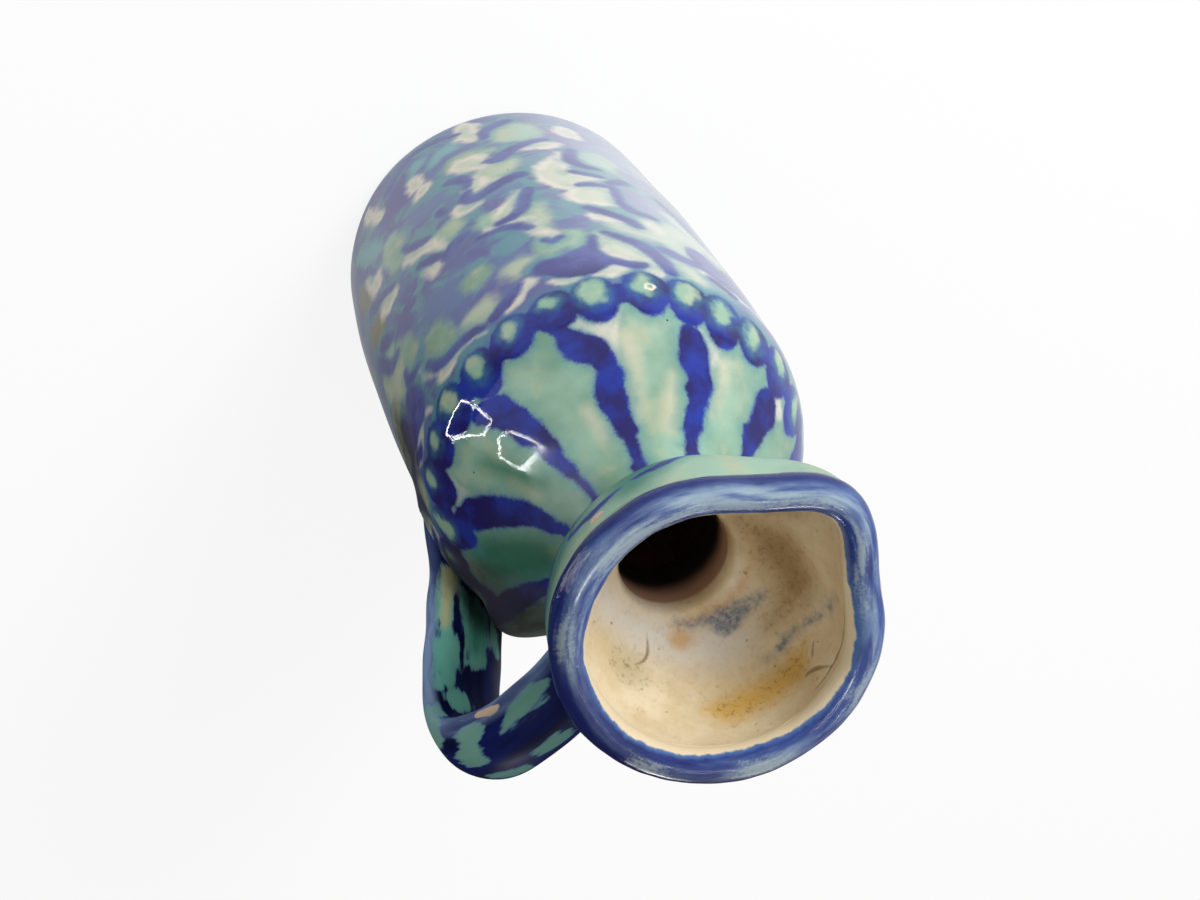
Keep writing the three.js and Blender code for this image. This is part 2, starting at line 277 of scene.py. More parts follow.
def paint(red, green, blue):
    # a colour as it looks, 0 to 255
    def plain(v):
        v /= 255
        return v / 12.92 if v <= 0.04045 else ((v + 0.055) / 1.055) ** 2.4
    return (plain(red), plain(green), plain(blue), 1.0)


class Bench:
    # puts nodes into one tree and hands back their outputs
    def __init__(self, tree):
        self.tree = tree

    def put(self, kind, inputs=(), **settings):
        node = self.tree.nodes.new("ShaderNode" + kind)
        for key, value in settings.items():
            setattr(node, key, value)
        for key, value in dict(inputs).items():
            if isinstance(value, bpy.types.NodeSocket):
                self.tree.links.new(value, node.inputs[key])
            else:
                node.inputs[key].default_value = value
        return node

    def place(self):
        return self.put("TexCoord").outputs["Object"]

    def field(self, name, output="Fac"):
        return self.put("Attribute", attribute_name=name).outputs[output]

    def noise(self, vector, scale, detail=2.0, rough=0.5, twist=0.0):
        inputs = {"Vector": vector, "Scale": scale, "Detail": detail, "Roughness": rough, "Distortion": twist}
        return self.put("TexNoise", inputs).outputs[0]

    def sums(self, operation, *values):
        return self.put("Math", dict(enumerate(values)), operation=operation).outputs[0]

    def times(self, a, b):
        return self.sums("MULTIPLY", a, b)

    def scaled(self, value, by, plus):
        return self.sums("MULTIPLY_ADD", value, by, plus)

    def ramp(self, value, low, high, start=0.0, end=1.0):
        inputs = {"Value": value, "From Min": low, "From Max": high, "To Min": start, "To Max": end}
        return self.put("MapRange", inputs, interpolation_type="SMOOTHSTEP").outputs[0]

    def mix(self, amount, under, over, kind="MIX"):
        return self.put("Mix", {0: amount, 6: under, 7: over}, data_type="RGBA", blend_type=kind).outputs[2]


class GlazePot(Bench):
    # a glaze whose named colours are laid one over the other
    def __init__(self, name, colours):
        self.material = bpy.data.materials.new(name)
        self.material.use_nodes = True
        super().__init__(self.material.node_tree)
        self.colours = colours
        self.at = self.place()

    def tint(self, colour):
        return self.colours[colour] if isinstance(colour, str) else colour

    def blend(self, amount, under, over):
        return self.mix(amount, self.tint(under), self.tint(over))

    def lay(self, amount, over, kind="MIX"):
        self.colour = self.mix(amount, self.colour, self.tint(over), kind)

    def wander(self, place, coarse, fine=1.0):
        # mm by which a painted edge wanders
        wide = self.scaled(self.noise(place, 300.0, 3.0), coarse, -coarse / 2)
        small = self.scaled(self.noise(place, 1400.0, 2.0), fine, -fine / 2)
        return self.sums("ADD", wide, small)

    def depth(self, name, wobble):
        return self.sums("ADD", self.field(name), wobble)

    def painted(self, name, wobble, soft, start=0.0):
        return self.ramp(self.depth(name, wobble), start - soft, start + soft)

    def specks(self, cells, size, share):
        # small dark pinholes: one in some of the cells
        spots = self.put("TexVoronoi", {"Vector": self.at, "Scale": cells, "Randomness": 1.0})
        dot = self.ramp(spots.outputs["Distance"], size, size * 0.5)
        pick = self.put("SeparateColor", {"Color": spots.outputs["Color"]}).outputs[0]
        return self.times(dot, self.sums("GREATER_THAN", pick, 1 - share))

    def finish(self, rough, relief, reliefDepth, level):
        inputs = self.tree.nodes["Principled BSDF"].inputs
        bump = self.put("Bump", {"Strength": 0.3, "Distance": reliefDepth * mm, "Height": relief})
        outputs = {"Base Color": self.colour, "Roughness": rough, "Normal": bump.outputs["Normal"]}
        for name, output in outputs.items():
            self.tree.links.new(output, inputs[name])
        inputs["IOR"].default_value = 1.5
        inputs["Specular IOR Level"].default_value = level
        return self.material


glazeColours = dict(
    slate=paint(84, 106, 150), violet=paint(82, 82, 142), teal=paint(84, 136, 146),
    sage=paint(116, 150, 124), mint=paint(146, 180, 156), peach=paint(178, 176, 142),
    forest=paint(42, 108, 86), turquoise=paint(102, 160, 164), lemon=paint(172, 184, 156),
    olive=paint(120, 116, 80), cream=paint(214, 205, 190), heart=paint(182, 190, 166),
    wash=paint(76, 138, 138), bleed=paint(58, 84, 160), cobalt=paint(35, 52, 144), navy=paint(35, 31, 94),
    hazyCobalt=paint(74, 86, 148), hazyNavy=paint(61, 64, 130), pool=paint(58, 110, 140),
    bead=paint(142, 176, 150), paintedShade=paint(34, 27, 23), pit=paint(58, 44, 34), clay=paint(184, 142, 102),
    pale=paint(208, 212, 218), blush=paint(186, 186, 162), rubbedEdgeAndSheen=paint(122, 146, 184),
)
# the strap is painted darker and wetter: its cobalt and navy are darker as painted shade, its inner greens
# brighter as painted light
handleShadedAndLitColours = dict(
    glazeColours, cobalt=paint(18, 30, 94), navy=paint(11, 14, 46), sage=paint(94, 148, 130),
    mint=paint(124, 170, 150), peach=paint(148, 166, 134), forest=paint(46, 116, 96),
    blush=paint(112, 186, 168), lemon=paint(206, 198, 144),
)
clayColours = dict(
    dry=paint(176, 132, 98), damp=paint(146, 106, 78), sand=paint(206, 176, 140), pit=paint(84, 60, 46),
)


def paintedGlaze(name, colours, level, halo, ragged, dragged=False):
    # cream slip, green and turquoise washes, cobalt strokes and green beads under one glossy glaze
    g = GlazePot(name, colours)
    haze = g.field("haze")  # the body is painted wetter than the shoulder
    paintedSheen = g.field("paintedSheen")
    flow = g.field("grain", "Vector") if dragged else g.at
    cloud = g.noise(flow, 36.0, 3.0, 0.55)
    drift = g.noise(flow, 64.0, 3.0, 0.6, 0.4)
    tone = g.noise(flow, 80.0, 3.0, 0.6)
    mottle = g.noise(flow, 170.0, 3.0, 0.55)
    blots = g.noise(g.at, 120.0)
    grain = g.noise(g.at, 900.0, 3.0, 0.6)
    wobble = g.wander(flow, ragged)
    leafEdge = g.scaled(g.scaled(blots, 7.0, -3.5), haze, wobble)
    # slate ground and the washes on it
    g.colour = g.blend(g.ramp(cloud, 0.4, 0.6), "slate", "violet")
    g.lay(g.ramp(drift, 0.46, 0.62, 0.0, 0.85), "teal")
    petal = g.blend(g.ramp(cloud, 0.36, 0.64), "sage", "mint")
    petal = g.blend(g.ramp(drift, 0.46, 0.7, 0.0, 0.6), petal, "peach")
    for field, tint, soft in (
        ("turquoise", "turquoise", 3.4), ("sage", petal, 2.8), ("blush", "blush", 3.0),
        ("lemon", "lemon", 3.2), ("olive", "olive", 3.2), ("forest", "forest", 6.0),
    ):
        g.lay(g.times(g.painted(field, leafEdge, soft), 0.92), tint)
    # cream slip, greenish in the middle of the wide gaps
    wet = g.scaled(haze, 1.1, 1.0)
    creamDepth = g.depth("cream", leafEdge)
    slip = g.blend(g.ramp(creamDepth, 1.2, 5.0, 0.0, 0.9), "cream", "heart")
    g.lay(g.ramp(g.sums("DIVIDE", creamDepth, wet), -1.1, 1.1), slip)
    # painted sheen: one side of the body is painted paler, standing in for a reflection
    g.lay(g.times(paintedSheen, 0.28), "pale")
    # cobalt with a thin wash round it and a feathered edge
    blueDepth = g.depth("cobalt", wobble)
    spread = g.scaled(mottle, 6.0, g.sums("ADD", blueDepth, -3.0))
    patchy = g.ramp(drift, 0.36, 0.6, 0.25 * halo, 0.8 * halo)
    g.lay(g.times(g.ramp(spread, -6.0, 0.0), patchy), "wash")
    feather = g.scaled(grain, 2.6, g.sums("ADD", blueDepth, -1.3))
    g.lay(g.ramp(feather, -1.5, 0.5, 0.0, 0.5), "bleed")
    deep = g.ramp(tone, 0.38, 0.62)
    blue = g.mix(haze, g.blend(deep, "cobalt", "navy"), g.blend(deep, "hazyCobalt", "hazyNavy"))
    blueMask = g.ramp(g.sums("DIVIDE", blueDepth, wet), -0.7, 0.7)
    g.lay(blueMask, blue)
    # beads in pools of thinner blue
    dabEdge = g.scaled(blots, 8.0, g.sums("ADD", wobble, -4.0))
    pool = g.painted("bead", dabEdge, 2.8, -1.2)
    g.lay(g.times(pool, g.ramp(mottle, 0.36, 0.62, 0.4, 0.9)), "pool")
    bead = g.painted("bead", dabEdge, 1.5, 0.9)
    g.lay(g.times(bead, 0.9), g.blend(g.ramp(drift, 0.45, 0.65), "bead", "lemon"))
    # wear: a rubbed edge that is partly a painted highlight, chips and a finger mark; then painted shade by the
    # strap
    # the strap's near edge: paler blue for glaze rubbed thin there, and partly a painted highlight
    rubbedAndSheen = g.times(g.ramp(tone, 0.38, 0.58, 0.2, 0.95), g.ramp(blueDepth, -1.5, 1.0, 0.3, 1.0))
    g.lay(g.times(g.field("edge"), rubbedAndSheen), "rubbedEdgeAndSheen")
    chip = g.painted("chip", g.times(wobble, 0.4), 0.25)
    g.lay(chip, g.blend(mottle, "clay", "cream"))
    g.lay(g.painted("mark", wobble, 0.3), "cream")
    # more painted sheen on the softly painted body
    g.lay(g.times(g.times(paintedSheen, haze), 0.2), "pale")
    # painted shade, dark brown and matt, where the strap meets the jug
    paintedShade = g.painted("paintedShade", leafEdge, 6.5)
    g.lay(g.times(paintedShade, g.ramp(tone, 0.35, 0.6, 0.92, 0.72)), "paintedShade")
    g.lay(g.ramp(grain, 0.35, 0.75, 0.0, 0.2), "cream", "SOFT_LIGHT")
    g.lay(g.specks(95.0, 0.045, 0.25), "pit")
    rough = g.ramp(mottle, 0.3, 0.8, 0.035, 0.07)
    for mask, more in ((chip, 0.6), (g.field("dull"), 0.35), (haze, 0.07), (paintedShade, 0.65)):
        rough = g.scaled(mask, more, rough)
    relief = g.scaled(blueMask, 0.3, g.scaled(chip, -2.0, mottle))
    return g.finish(rough, relief, 0.16, level)


def clayFinish():
    # unglazed clay of the inside and the underside
    g = GlazePot("bareClay", clayColours)
    cloud = g.noise(g.at, 60.0, 5.0, 0.65)
    grit = g.noise(g.at, 1300.0, 3.0, 0.7)
    g.colour = g.blend(g.ramp(cloud, 0.3, 0.7), "dry", "damp")
    g.lay(g.ramp(grit, 0.4, 0.75, 0.0, 0.5), "sand")
    g.lay(g.specks(160.0, 0.09, 0.4), "pit")
    return g.finish(g.ramp(cloud, 0.2, 0.8, 0.75, 0.92), grit, 0.25, 0.3)


glazed = paintedGlaze("paintedGlaze", glazeColours, level=0.28, halo=0.8, ragged=2.2)
handleGlaze = paintedGlaze("handleGlaze", handleShadedAndLitColours, level=0.03, halo=0.3, ragged=9.0, dragged=True)
bareClay = clayFinish()
paintFields = (
    "turquoise", "sage", "lemon", "olive", "forest", "cream", "cobalt", "bead", "chip", "paintedShade", "mark",
    "blush",
)
print("painted glaze and clay made")

bodySettings = dict(
    footRadius=65.0, footRounding=4.0, floorThickness=8.0, bellyRadius=66.2, bellyHeight=56.0,
    edgeRadius=62.0, wallHeight=172.0, wallThickness=7.0, ridges=6, ridgeDepth=0.8,
    cornerRadius=6.0, wallRows=168,
    wobble=0.32, wobbleSize=70.0, wobbleRing=60.0, wobbleFrom=20.0, wobbleTo=50.0, steadyFrom=196.0,
    leafSpread=1.2, repeats=(0, 120, 240), hazeFrom=180.0, hazeTo=160.0,
    sheenAt=-160.0, sheenHalf=29.0, sheenFrom=230.0, sheenTo=150.0, skin=2.5, footTop=4.5, underside=0.2,
)
shoulderSettings = dict(
    topRadius=30.0, topHeight=219.0, swell=20.0, topRun=17.0, topFall=16.0, thickness=6.5,
    neckRadius=24.3, neckFoot=(26.2, 222.6), neckRise=227.0, rows=84, domeFrom=186.0,
)
mouthSettings = dict(
    waistHeight=235.0, cupRadius=44.0, cupTop=276.0, cupRise=8.0, cupSide=1.5, cupBelly=11.0, thickness=6.5,
    throatRadius=16.2, throatTop=236.0, throatFoot=219.3, collar=23.0, shelfRadius=18.0, shelfHeight=242.0,
    shelfEdge=(16.9, 241.6), shelfFoot=240.0, bowlRun=12.0, bowlRise=5.0, bowlSide=0.5, bowlDrop=19.0,
    oval=0.8, ovalAngle=-11.0, lean=4.6, leanAngle=106.0,
    lip=6.9, lipHalfAngle=29.0, lipFade=1.1, lipAngle=-173.0, tuck=0.012, tuckFrom=265.8, tuckTop=278.5,
    skin=2.0, dent=0.35, dentFrom=-0.3, dentTo=0.6, throatFrom=0.6, throatReach=30.0,
    uneven=0.22, unevenSize=26.0, unevenFrom=236.0, unevenTo=250.0,
)


def wallRadius(z):
    s = bodySettings
    up = z - s["bellyHeight"]
    low = s["bellyRadius"] - (s["bellyRadius"] - s["footRadius"]) * (up / s["bellyHeight"]) ** 2
    reach = s["wallHeight"] - s["bellyHeight"]
    high = s["bellyRadius"] - (s["bellyRadius"] - s["edgeRadius"]) * (up / reach) ** 2
    return np.where(up < 0, low, high)


def shoulderCurve(count):
    b, s = bodySettings, shoulderSettings
    lean = -2 * (b["bellyRadius"] - b["edgeRadius"]) / (b["wallHeight"] - b["bellyHeight"])
    return bezier((b["edgeRadius"], b["wallHeight"]),
                  (b["edgeRadius"] + lean * s["swell"], b["wallHeight"] + s["swell"]),
                  (s["topRadius"] + s["topRun"], s["topHeight"] - s["topFall"]),
                  (s["topRadius"], s["topHeight"]), count)


def neckCurve(count):
    s = shoulderSettings
    return bezier((s["topRadius"], s["topHeight"]), s["neckFoot"], (s["neckRadius"], s["neckRise"]),
                  (s["neckRadius"], mouthSettings["waistHeight"]), count)


def cupCurve(count):
    neck, s = shoulderSettings["neckRadius"], mouthSettings
    return bezier((neck, s["waistHeight"]), (neck, s["waistHeight"] + s["cupRise"]),
                  (s["cupRadius"] - s["cupSide"], s["waistHeight"] + s["cupBelly"]),
                  (s["cupRadius"], s["cupTop"]), count)


def bodyProfile():
    s = bodySettings
    foot = arc((s["footRadius"] - s["footRounding"], s["footRounding"]), s["footRounding"], -90, 0, 8)
    under = np.stack([np.linspace(0, foot[0, 0], 12), np.zeros(12)], 1)[:-1]
    z = np.linspace(s["footRounding"], s["wallHeight"], s["wallRows"])[1:]
    outside = np.stack([wallRadius(z), z], 1)
    z = np.linspace(s["wallHeight"], s["floorThickness"] + s["cornerRadius"], 26)
    ripple = 0.5 * s["ridgeDepth"] * (1 - np.cos(2 * math.pi * s["ridges"] * z / s["wallHeight"]))
    inside = np.stack([wallRadius(z) - s["wallThickness"] + ripple, z], 1)
    corner = arc(inside[-1] - [s["cornerRadius"], 0], s["cornerRadius"], 0, -90, 5)[1:]
    floor = np.stack([np.linspace(corner[-1, 0], 0, 8), np.full(8, s["floorThickness"])], 1)[1:]
    return np.vstack([under, foot, outside, inside, corner, floor])


def shoulderProfile():
    s = shoulderSettings
    outside = shoulderCurve(s["rows"])
    along = np.gradient(outside, axis=0)
    along /= np.linalg.norm(along, axis=1)[:, None]
    inside = outside + np.stack([-along[:, 1], along[:, 0]], 1) * s["thickness"]
    inside[0] = (bodySettings["edgeRadius"] - bodySettings["wallThickness"], bodySettings["wallHeight"])
    inside[-1] = (mouthSettings["throatRadius"] + s["thickness"] / 2, s["topHeight"])
    return np.vstack([outside, inside[::-6][:-1], inside[:1]])


def handWobble(co):
    # the slight unevenness of a wheel-thrown wall, none at the neck
    s = bodySettings
    az = azimuth(co) * rad
    ring = np.stack([s["wobbleRing"] * np.cos(az), s["wobbleRing"] * np.sin(az), co[:, 2]], 1)
    fade = 1 - smoothStep(s["steadyFrom"], shoulderSettings["topHeight"], co[:, 2])
    push = s["wobble"] * softNoise(ring, s["wobbleSize"], seed=3) * fade
    return pushed(co, push * smoothStep(s["wobbleFrom"], s["wobbleTo"], fromAxis(co)))


# the outside from the foot up to the rim: heights, radii and run along it
lowHeights = np.arange(bodySettings["wallHeight"])
upperCurve = np.vstack([shoulderCurve(80), neckCurve(30)[1:], cupCurve(60)[1:]])
runHeights = np.concatenate([lowHeights, upperCurve[:, 1]])
runRadii = np.concatenate([wallRadius(lowHeights), upperCurve[:, 0]])
runLengths = runAlong(np.stack([runRadii, runHeights], 1))


def runAt(z):
    return np.interp(z, runHeights, runLengths)


def jugRadius(z):
    return np.interp(z, runHeights, runRadii)


def onJug(points, turn=0):
    # given (azimuth, height[, half width]) to (azimuth, run[, half width])
    out = np.array(points, float)
    out[:, 0] += turn
    out[:, 1] = runAt(out[:, 1])
    return out


def coatInside(piece, coat, test):
    # faces whose middle passes the test get the second coat
    co = corners(piece)
    mesh = piece.data
    middles = np.array([co[list(face.vertices)].mean(0) for face in mesh.polygons])
    inner = test(fromAxis(middles), middles[:, 2])
    mesh.materials.append(coat)
    mesh.polygons.foreach_set("material_index", inner.astype(np.int32))


# painted leaves on the body: (wash, outline of (azimuth, height))
bodyLeaves = [
    ("lemon", [(-157, 176), (-151, 175), (-150.5, 166), (-152, 162), (-156, 163), (-158, 170)]),
    ("cream", [(-144.9, 172), (-145.7, 167), (-143, 159), (-140, 153), (-135.5, 146.5), (-132.5, 144.5),
               (-130.7, 152), (-131.4, 161), (-135.5, 166), (-139.3, 167.6), (-142.3, 168), (-140, 174),
               (-143, 177)]),
    ("cream", [(-134, 174.5), (-129.5, 177), (-125, 176), (-125.8, 174), (-128.8, 173), (-131, 171)]),
    ("cream", [(-119.4, 175.3), (-116, 174.8), (-113, 171), (-116, 172.8), (-119, 173.6)]),
    ("cream", [(-98, 173.5), (-101.8, 173), (-104.8, 169.4), (-108.4, 164.6), (-107, 163), (-103.8, 164.4),
               (-101.4, 168.4), (-99, 170.8)]),
    ("cream", [(-77, 172), (-73.5, 173), (-70.5, 171.5), (-71, 167.5), (-72.5, 168), (-75, 169.5)]),
    ("cream", [(-55, 170), (-50, 173), (-46.3, 173), (-42.5, 169), (-40, 164), (-42.5, 164.2), (-46.3, 168),
               (-49.3, 167), (-51.5, 168)]),
    ("turquoise", [(-118.8, 165.5), (-115, 165.5), (-113.5, 160), (-117, 157.5), (-119.3, 161)]),
    ("sage", [(-128.8, 145.4), (-127.3, 151.3), (-124.3, 154.8), (-122, 151.3), (-119, 153.3), (-116, 154.3),
              (-114.5, 148.3), (-115.7, 142.4), (-118.3, 144.4), (-120.2, 145.4), (-122, 143.9),
              (-125.8, 141.9)]),
    ("lemon", [(-110.8, 151.3), (-106.7, 157.2), (-104.8, 158.2), (-102.5, 151.3), (-106.3, 149.3)]),
    ("lemon", [(-97.3, 165), (-93.5, 168.5), (-88.5, 167), (-86.5, 162), (-89.5, 160), (-95, 160.5)]),
    ("sage", [(-80, 161.5), (-75.5, 163), (-71, 159), (-71.5, 152), (-75, 146), (-79.5, 147), (-81, 153)]),
    ("sage", [(-98.5, 146), (-93, 147), (-91, 142), (-95, 139), (-98.8, 141)]),
    ("lemon", [(-165, 148), (-158, 153.5), (-154, 153), (-149.5, 148), (-144, 145.5), (-139, 143), (-139, 137),
               (-144, 139.5), (-147.5, 137), (-149, 131), (-157, 125), (-165, 128), (-168, 136)]),
    ("cream", [(-152, 140), (-148.5, 140), (-147.5, 136), (-149.5, 132), (-152, 134)]),
    ("cream", [(-140.8, 135.5), (-135.5, 133.5), (-134.2, 129.5), (-136.3, 128.5), (-139.3, 131.5)]),
    ("cream", [(-144.9, 119.6), (-134, 119.6), (-131.8, 114.7), (-131.4, 108.8), (-134, 104.3), (-140, 101.8),
               (-144.9, 100.8), (-145.3, 110.7)]),
    ("cream", [(-134, 102.3), (-130.3, 102.8), (-126.2, 95.9), (-126.2, 87), (-128.8, 79.1), (-132.5, 73.2),
               (-135.5, 68.2), (-137.8, 64.3), (-136.3, 74.1), (-135.5, 83), (-136.3, 89), (-141.5, 91),
               (-146, 92), (-140, 93.9), (-135.5, 97.9)]),
    ("sage", [(-150.5, 79), (-146.5, 78), (-143, 72), (-142.3, 66), (-145, 60), (-149, 56), (-155, 58),
              (-154, 68)]),
    ("lemon", [(-120.2, 139), (-118.7, 139.4), (-115.3, 133.5), (-114.2, 128.5), (-112, 123), (-115, 119.5),
               (-118.3, 113.7), (-121.3, 114.7), (-122, 122.6), (-120.9, 131.5)]),
    ("cream", [(-119.6, 139.4), (-118.2, 139.2), (-115.1, 133), (-114, 128), (-110, 122.8), (-104.8, 120.8),
               (-104.6, 118.7), (-108.5, 119.6), (-113.5, 119.6), (-116.4, 124), (-117, 131)]),
    ("cream", [(-109.3, 116.2), (-113, 112.7), (-116, 106.8), (-118.5, 98.5), (-115.6, 101.8), (-112, 105.8),
               (-109.6, 109.8)]),
    ("sage", [(-109.6, 118), (-105, 118.5), (-102, 112), (-105, 108.5), (-109, 109)]),
    ("sage", [(-98, 103), (-95, 107.5), (-91, 109), (-87, 105), (-86, 99), (-90, 95.5), (-96, 95), (-99, 98)]),
    ("cream", [(-91.3, 108.8), (-88.3, 107.2), (-85.3, 100.3), (-80, 94.3), (-77.6, 91), (-80.8, 88.6),
               (-84.8, 93.6), (-87.8, 97.6), (-90.5, 102)]),
    ("cream", [(-106, 96), (-101.5, 96.5), (-98.5, 91), (-101, 88.5), (-105, 92)]),
    ("cream", [(-87, 118.5), (-84.5, 119), (-82, 110), (-83.5, 109), (-87, 114)]),
    ("lemon", [(-120.2, 77.1), (-116.8, 81.1), (-111.5, 84), (-107, 83), (-106.7, 76.1), (-108.5, 69.2),
               (-111.5, 65.2), (-116, 66.2), (-120.5, 62.3), (-122, 69.2)]),
    ("cream", [(-115, 82.5), (-111.5, 84), (-106.6, 83.6), (-106.4, 76.1), (-108.4, 69.2), (-110, 72),
               (-111, 79)]),
    ("cream", [(-113.5, 65.5), (-110, 65), (-106, 58), (-103.8, 51), (-107, 47), (-111, 49), (-114, 52),
               (-115, 59)]),
    ("sage", [(-114, 52), (-110, 49), (-104, 51), (-103, 46), (-106, 42), (-110, 42), (-115, 46), (-118, 51)]),
    ("cream", [(-124.3, 59.3), (-131, 57.8), (-137, 55.3), (-140, 50.4), (-135.5, 50.4), (-129.5, 52.4),
               (-124.3, 56.3)]),
    ("sage", [(-135.5, 39.5), (-130.3, 44.5), (-123.5, 42.5), (-120.5, 36.6), (-122, 27.7), (-126.5, 23.7),
              (-132.5, 21.7), (-136.3, 29.6)]),
    ("cream", [(-116.8, 31.6), (-114.2, 30.6), (-111.5, 23.7), (-112.3, 15.8), (-113, 7.9), (-116, 5.9),
               (-118.3, 14.8), (-117.5, 23.7)]),
    ("cream", [(-150, 35), (-145, 36), (-142.5, 30), (-146, 24), (-150.5, 24)]),
    ("cream", [(-95, 53), (-91, 55), (-89.5, 52), (-93, 48)]),
    ("cream", [(-94, 44), (-89, 45), (-88.5, 38), (-90, 33.5), (-93, 36)]),
    ("turquoise", [(-97, 28), (-94, 29), (-92.5, 24), (-95, 20), (-97.5, 24)]),
    ("turquoise", [(-109, 32), (-103, 35), (-99, 36), (-98, 31), (-103, 26), (-108, 27)]),
    ("cream", [(-77, 34), (-73.5, 33), (-70.5, 24), (-68.5, 14), (-70.5, 11.5), (-73, 20), (-76, 28)]),
    ("lemon", [(-57.5, 143.4), (-54.5, 144.4), (-50, 138.4), (-46.3, 131.5), (-43.3, 120.6), (-42.5, 110.7),
               (-46.3, 109.8), (-50.8, 119.6), (-55.3, 125.6), (-58.6, 128.5), (-59, 136.5)]),
    ("sage", [(-69, 140), (-64, 143), (-60.5, 138), (-60, 128), (-61, 121), (-64, 126), (-67, 131)]),
    ("sage", [(-58.5, 118), (-55, 116), (-53, 110), (-56, 109.5), (-58.5, 112)]),
    ("cream", [(-69.5, 97), (-64, 98), (-60.5, 92), (-62, 87), (-66, 90)]),
    ("olive", [(-60, 98), (-56, 98), (-51, 92), (-48.5, 84), (-50, 78), (-55, 83), (-59, 86)]),
    ("cream", [(-65, 77), (-61, 74), (-59.5, 62), (-57.5, 52), (-60, 52), (-63.5, 62), (-66, 71)]),
    ("olive", [(-59, 70), (-55, 69), (-51, 62), (-48, 50), (-51, 44), (-55, 50), (-58, 60)]),
    ("sage", [(-79, 84), (-73, 86), (-70.5, 76), (-70.5, 64), (-74, 58), (-79, 64)]),
    ("turquoise", [(-70, 54), (-64, 50), (-59, 38), (-55.5, 24), (-58, 22), (-63, 32), (-69, 44)]),
]
# cobalt fields and brush commas on the body
bodyBlueShapes = [
    [(-141.5, 168.5), (-139, 173), (-135, 172), (-131, 169), (-127.5, 172.5), (-122, 174), (-116, 171.5),
     (-112.5, 166), (-109, 163), (-110, 158), (-113, 156), (-118.5, 157), (-122.5, 155.5), (-127, 153),
     (-129.5, 146), (-131, 148), (-129.8, 156), (-131, 163), (-135.5, 167.5)],
    [(-62.5, 160), (-61, 166), (-57, 169.5), (-52, 167.5), (-46, 166), (-41, 160), (-38.5, 150), (-41, 143),
     (-46, 142.5), (-49, 149), (-54, 146), (-58, 148), (-60.5, 152)],
]
bodyCommas = [
    [(-147.3, 173.5, 2.2), (-147, 167, 2.8), (-145.5, 160, 3), (-143.3, 154.3, 3), (-138.5, 149.3, 2.2),
     (-134, 144.4, 1)],
    [(-104.5, 163.2, 1.2), (-101.5, 166.5, 2.6), (-98, 169, 3), (-94, 171, 2.4)],
    [(-89.5, 171.5, 1.6), (-86, 169, 2.2), (-80, 167.5, 2.2), (-75, 166.5, 2.2), (-71.5, 163, 2),
     (-69, 157, 1.5)],
    [(-146, 137.5, 2), (-144.5, 134, 2.4), (-141, 130, 2.6), (-137, 126.5, 2.4), (-134, 123, 1.5)],
    [(-121.5, 144, 1.2), (-119, 145.5, 1.5), (-117, 143, 1)],
    [(-115, 131, 1.6), (-112, 126, 2.2), (-107, 122.8, 1.6), (-101, 121, 1.2)],
    [(-108.5, 118.6, 2), (-113, 118.2, 2.2), (-116.5, 113.5, 2.4), (-119, 105, 2.2), (-121, 99, 1.8)],
    [(-98, 112, 2), (-94, 113, 3), (-90.5, 116, 2.5)],
    [(-90, 114, 2), (-86, 109, 2.5), (-81.5, 104, 1.8)],
    [(-121, 84, 3), (-117, 85, 3), (-112, 87.5, 3), (-107, 90, 2.5), (-104, 88.5, 2.5), (-103.5, 84.5, 2.5),
     (-105, 81, 1.5)],
    [(-95.5, 84, 1.8), (-94.5, 81, 2)],
    [(-87.5, 93, 1.5), (-83.5, 89, 2.2), (-80.5, 84, 2), (-79, 79, 1.5)],
    [(-105.5, 76, 1.6), (-106.5, 71, 2), (-105, 66, 2.4), (-101, 62, 2)],
    [(-114.8, 60.5, 1.5), (-118, 63.5, 2.2), (-121, 59.5, 3), (-125, 54.5, 2.8), (-130.5, 49.5, 2.2),
     (-136, 45.5, 1.6)],
    [(-146.5, 80, 1.5), (-142, 79, 2.4), (-139.3, 73, 2.6), (-140.5, 65, 2.4), (-142.5, 58, 1.8)],
    [(-118.8, 32.5, 1.8), (-119.5, 26, 2.4), (-124, 20, 2.6), (-129, 15.5, 2)],
    [(-111, 17, 1.8), (-104, 12, 2.5), (-95, 10, 2.5), (-87, 16, 2.5), (-81, 22, 2)],
    [(-65.5, 149.8, 1.2), (-61.5, 148.2, 2), (-58.5, 144.5, 2.2), (-59, 139.5, 1.6)],
    [(-59.5, 124.5, 1.6), (-54.5, 121.6, 2.4), (-51, 114, 2.6), (-48, 103, 2.6), (-44, 95, 2)],
    [(-60, 112, 2), (-56, 106, 3), (-52.5, 100, 2.4)],
    [(-69.5, 92, 1.2), (-65, 86, 1.8), (-59, 80, 2.4), (-54.5, 73, 2.4)],
    [(-64.2, 61.3, 1), (-61.3, 51.4, 1.8), (-56.8, 43.5, 2.4), (-54.5, 31.6, 2)],
    [(-163, 158, 2.5), (-156, 159, 3), (-150.5, 155, 3)],
    [(-168, 172, 2.5), (-163, 167, 2.5)],
    [(-154, 124.5, 2), (-148, 122.5, 2.6), (-146, 113.7, 1.8), (-147, 101, 2)],
    [(-146, 99.2, 1.8), (-140, 99.4, 1.8), (-136, 100.6, 1.2)],
    [(-153, 89, 2.5), (-147, 95, 2)],
    [(-145, 89, 1.6), (-140, 87.5, 1.8), (-137, 86.5, 1.4)],
]
bodyCreamLines = [
    [(-89.7, 175, 0.5), (-86.5, 172.2, 0.9), (-82, 170.6, 0.8), (-77, 170.2, 0.9)],
    [(-71, 167.5, 0.8), (-66.5, 160.2, 0.7), (-64.3, 150.3, 0.7)],
    [(-62.5, 174, 0.6), (-59.5, 170.5, 0.8)],
]
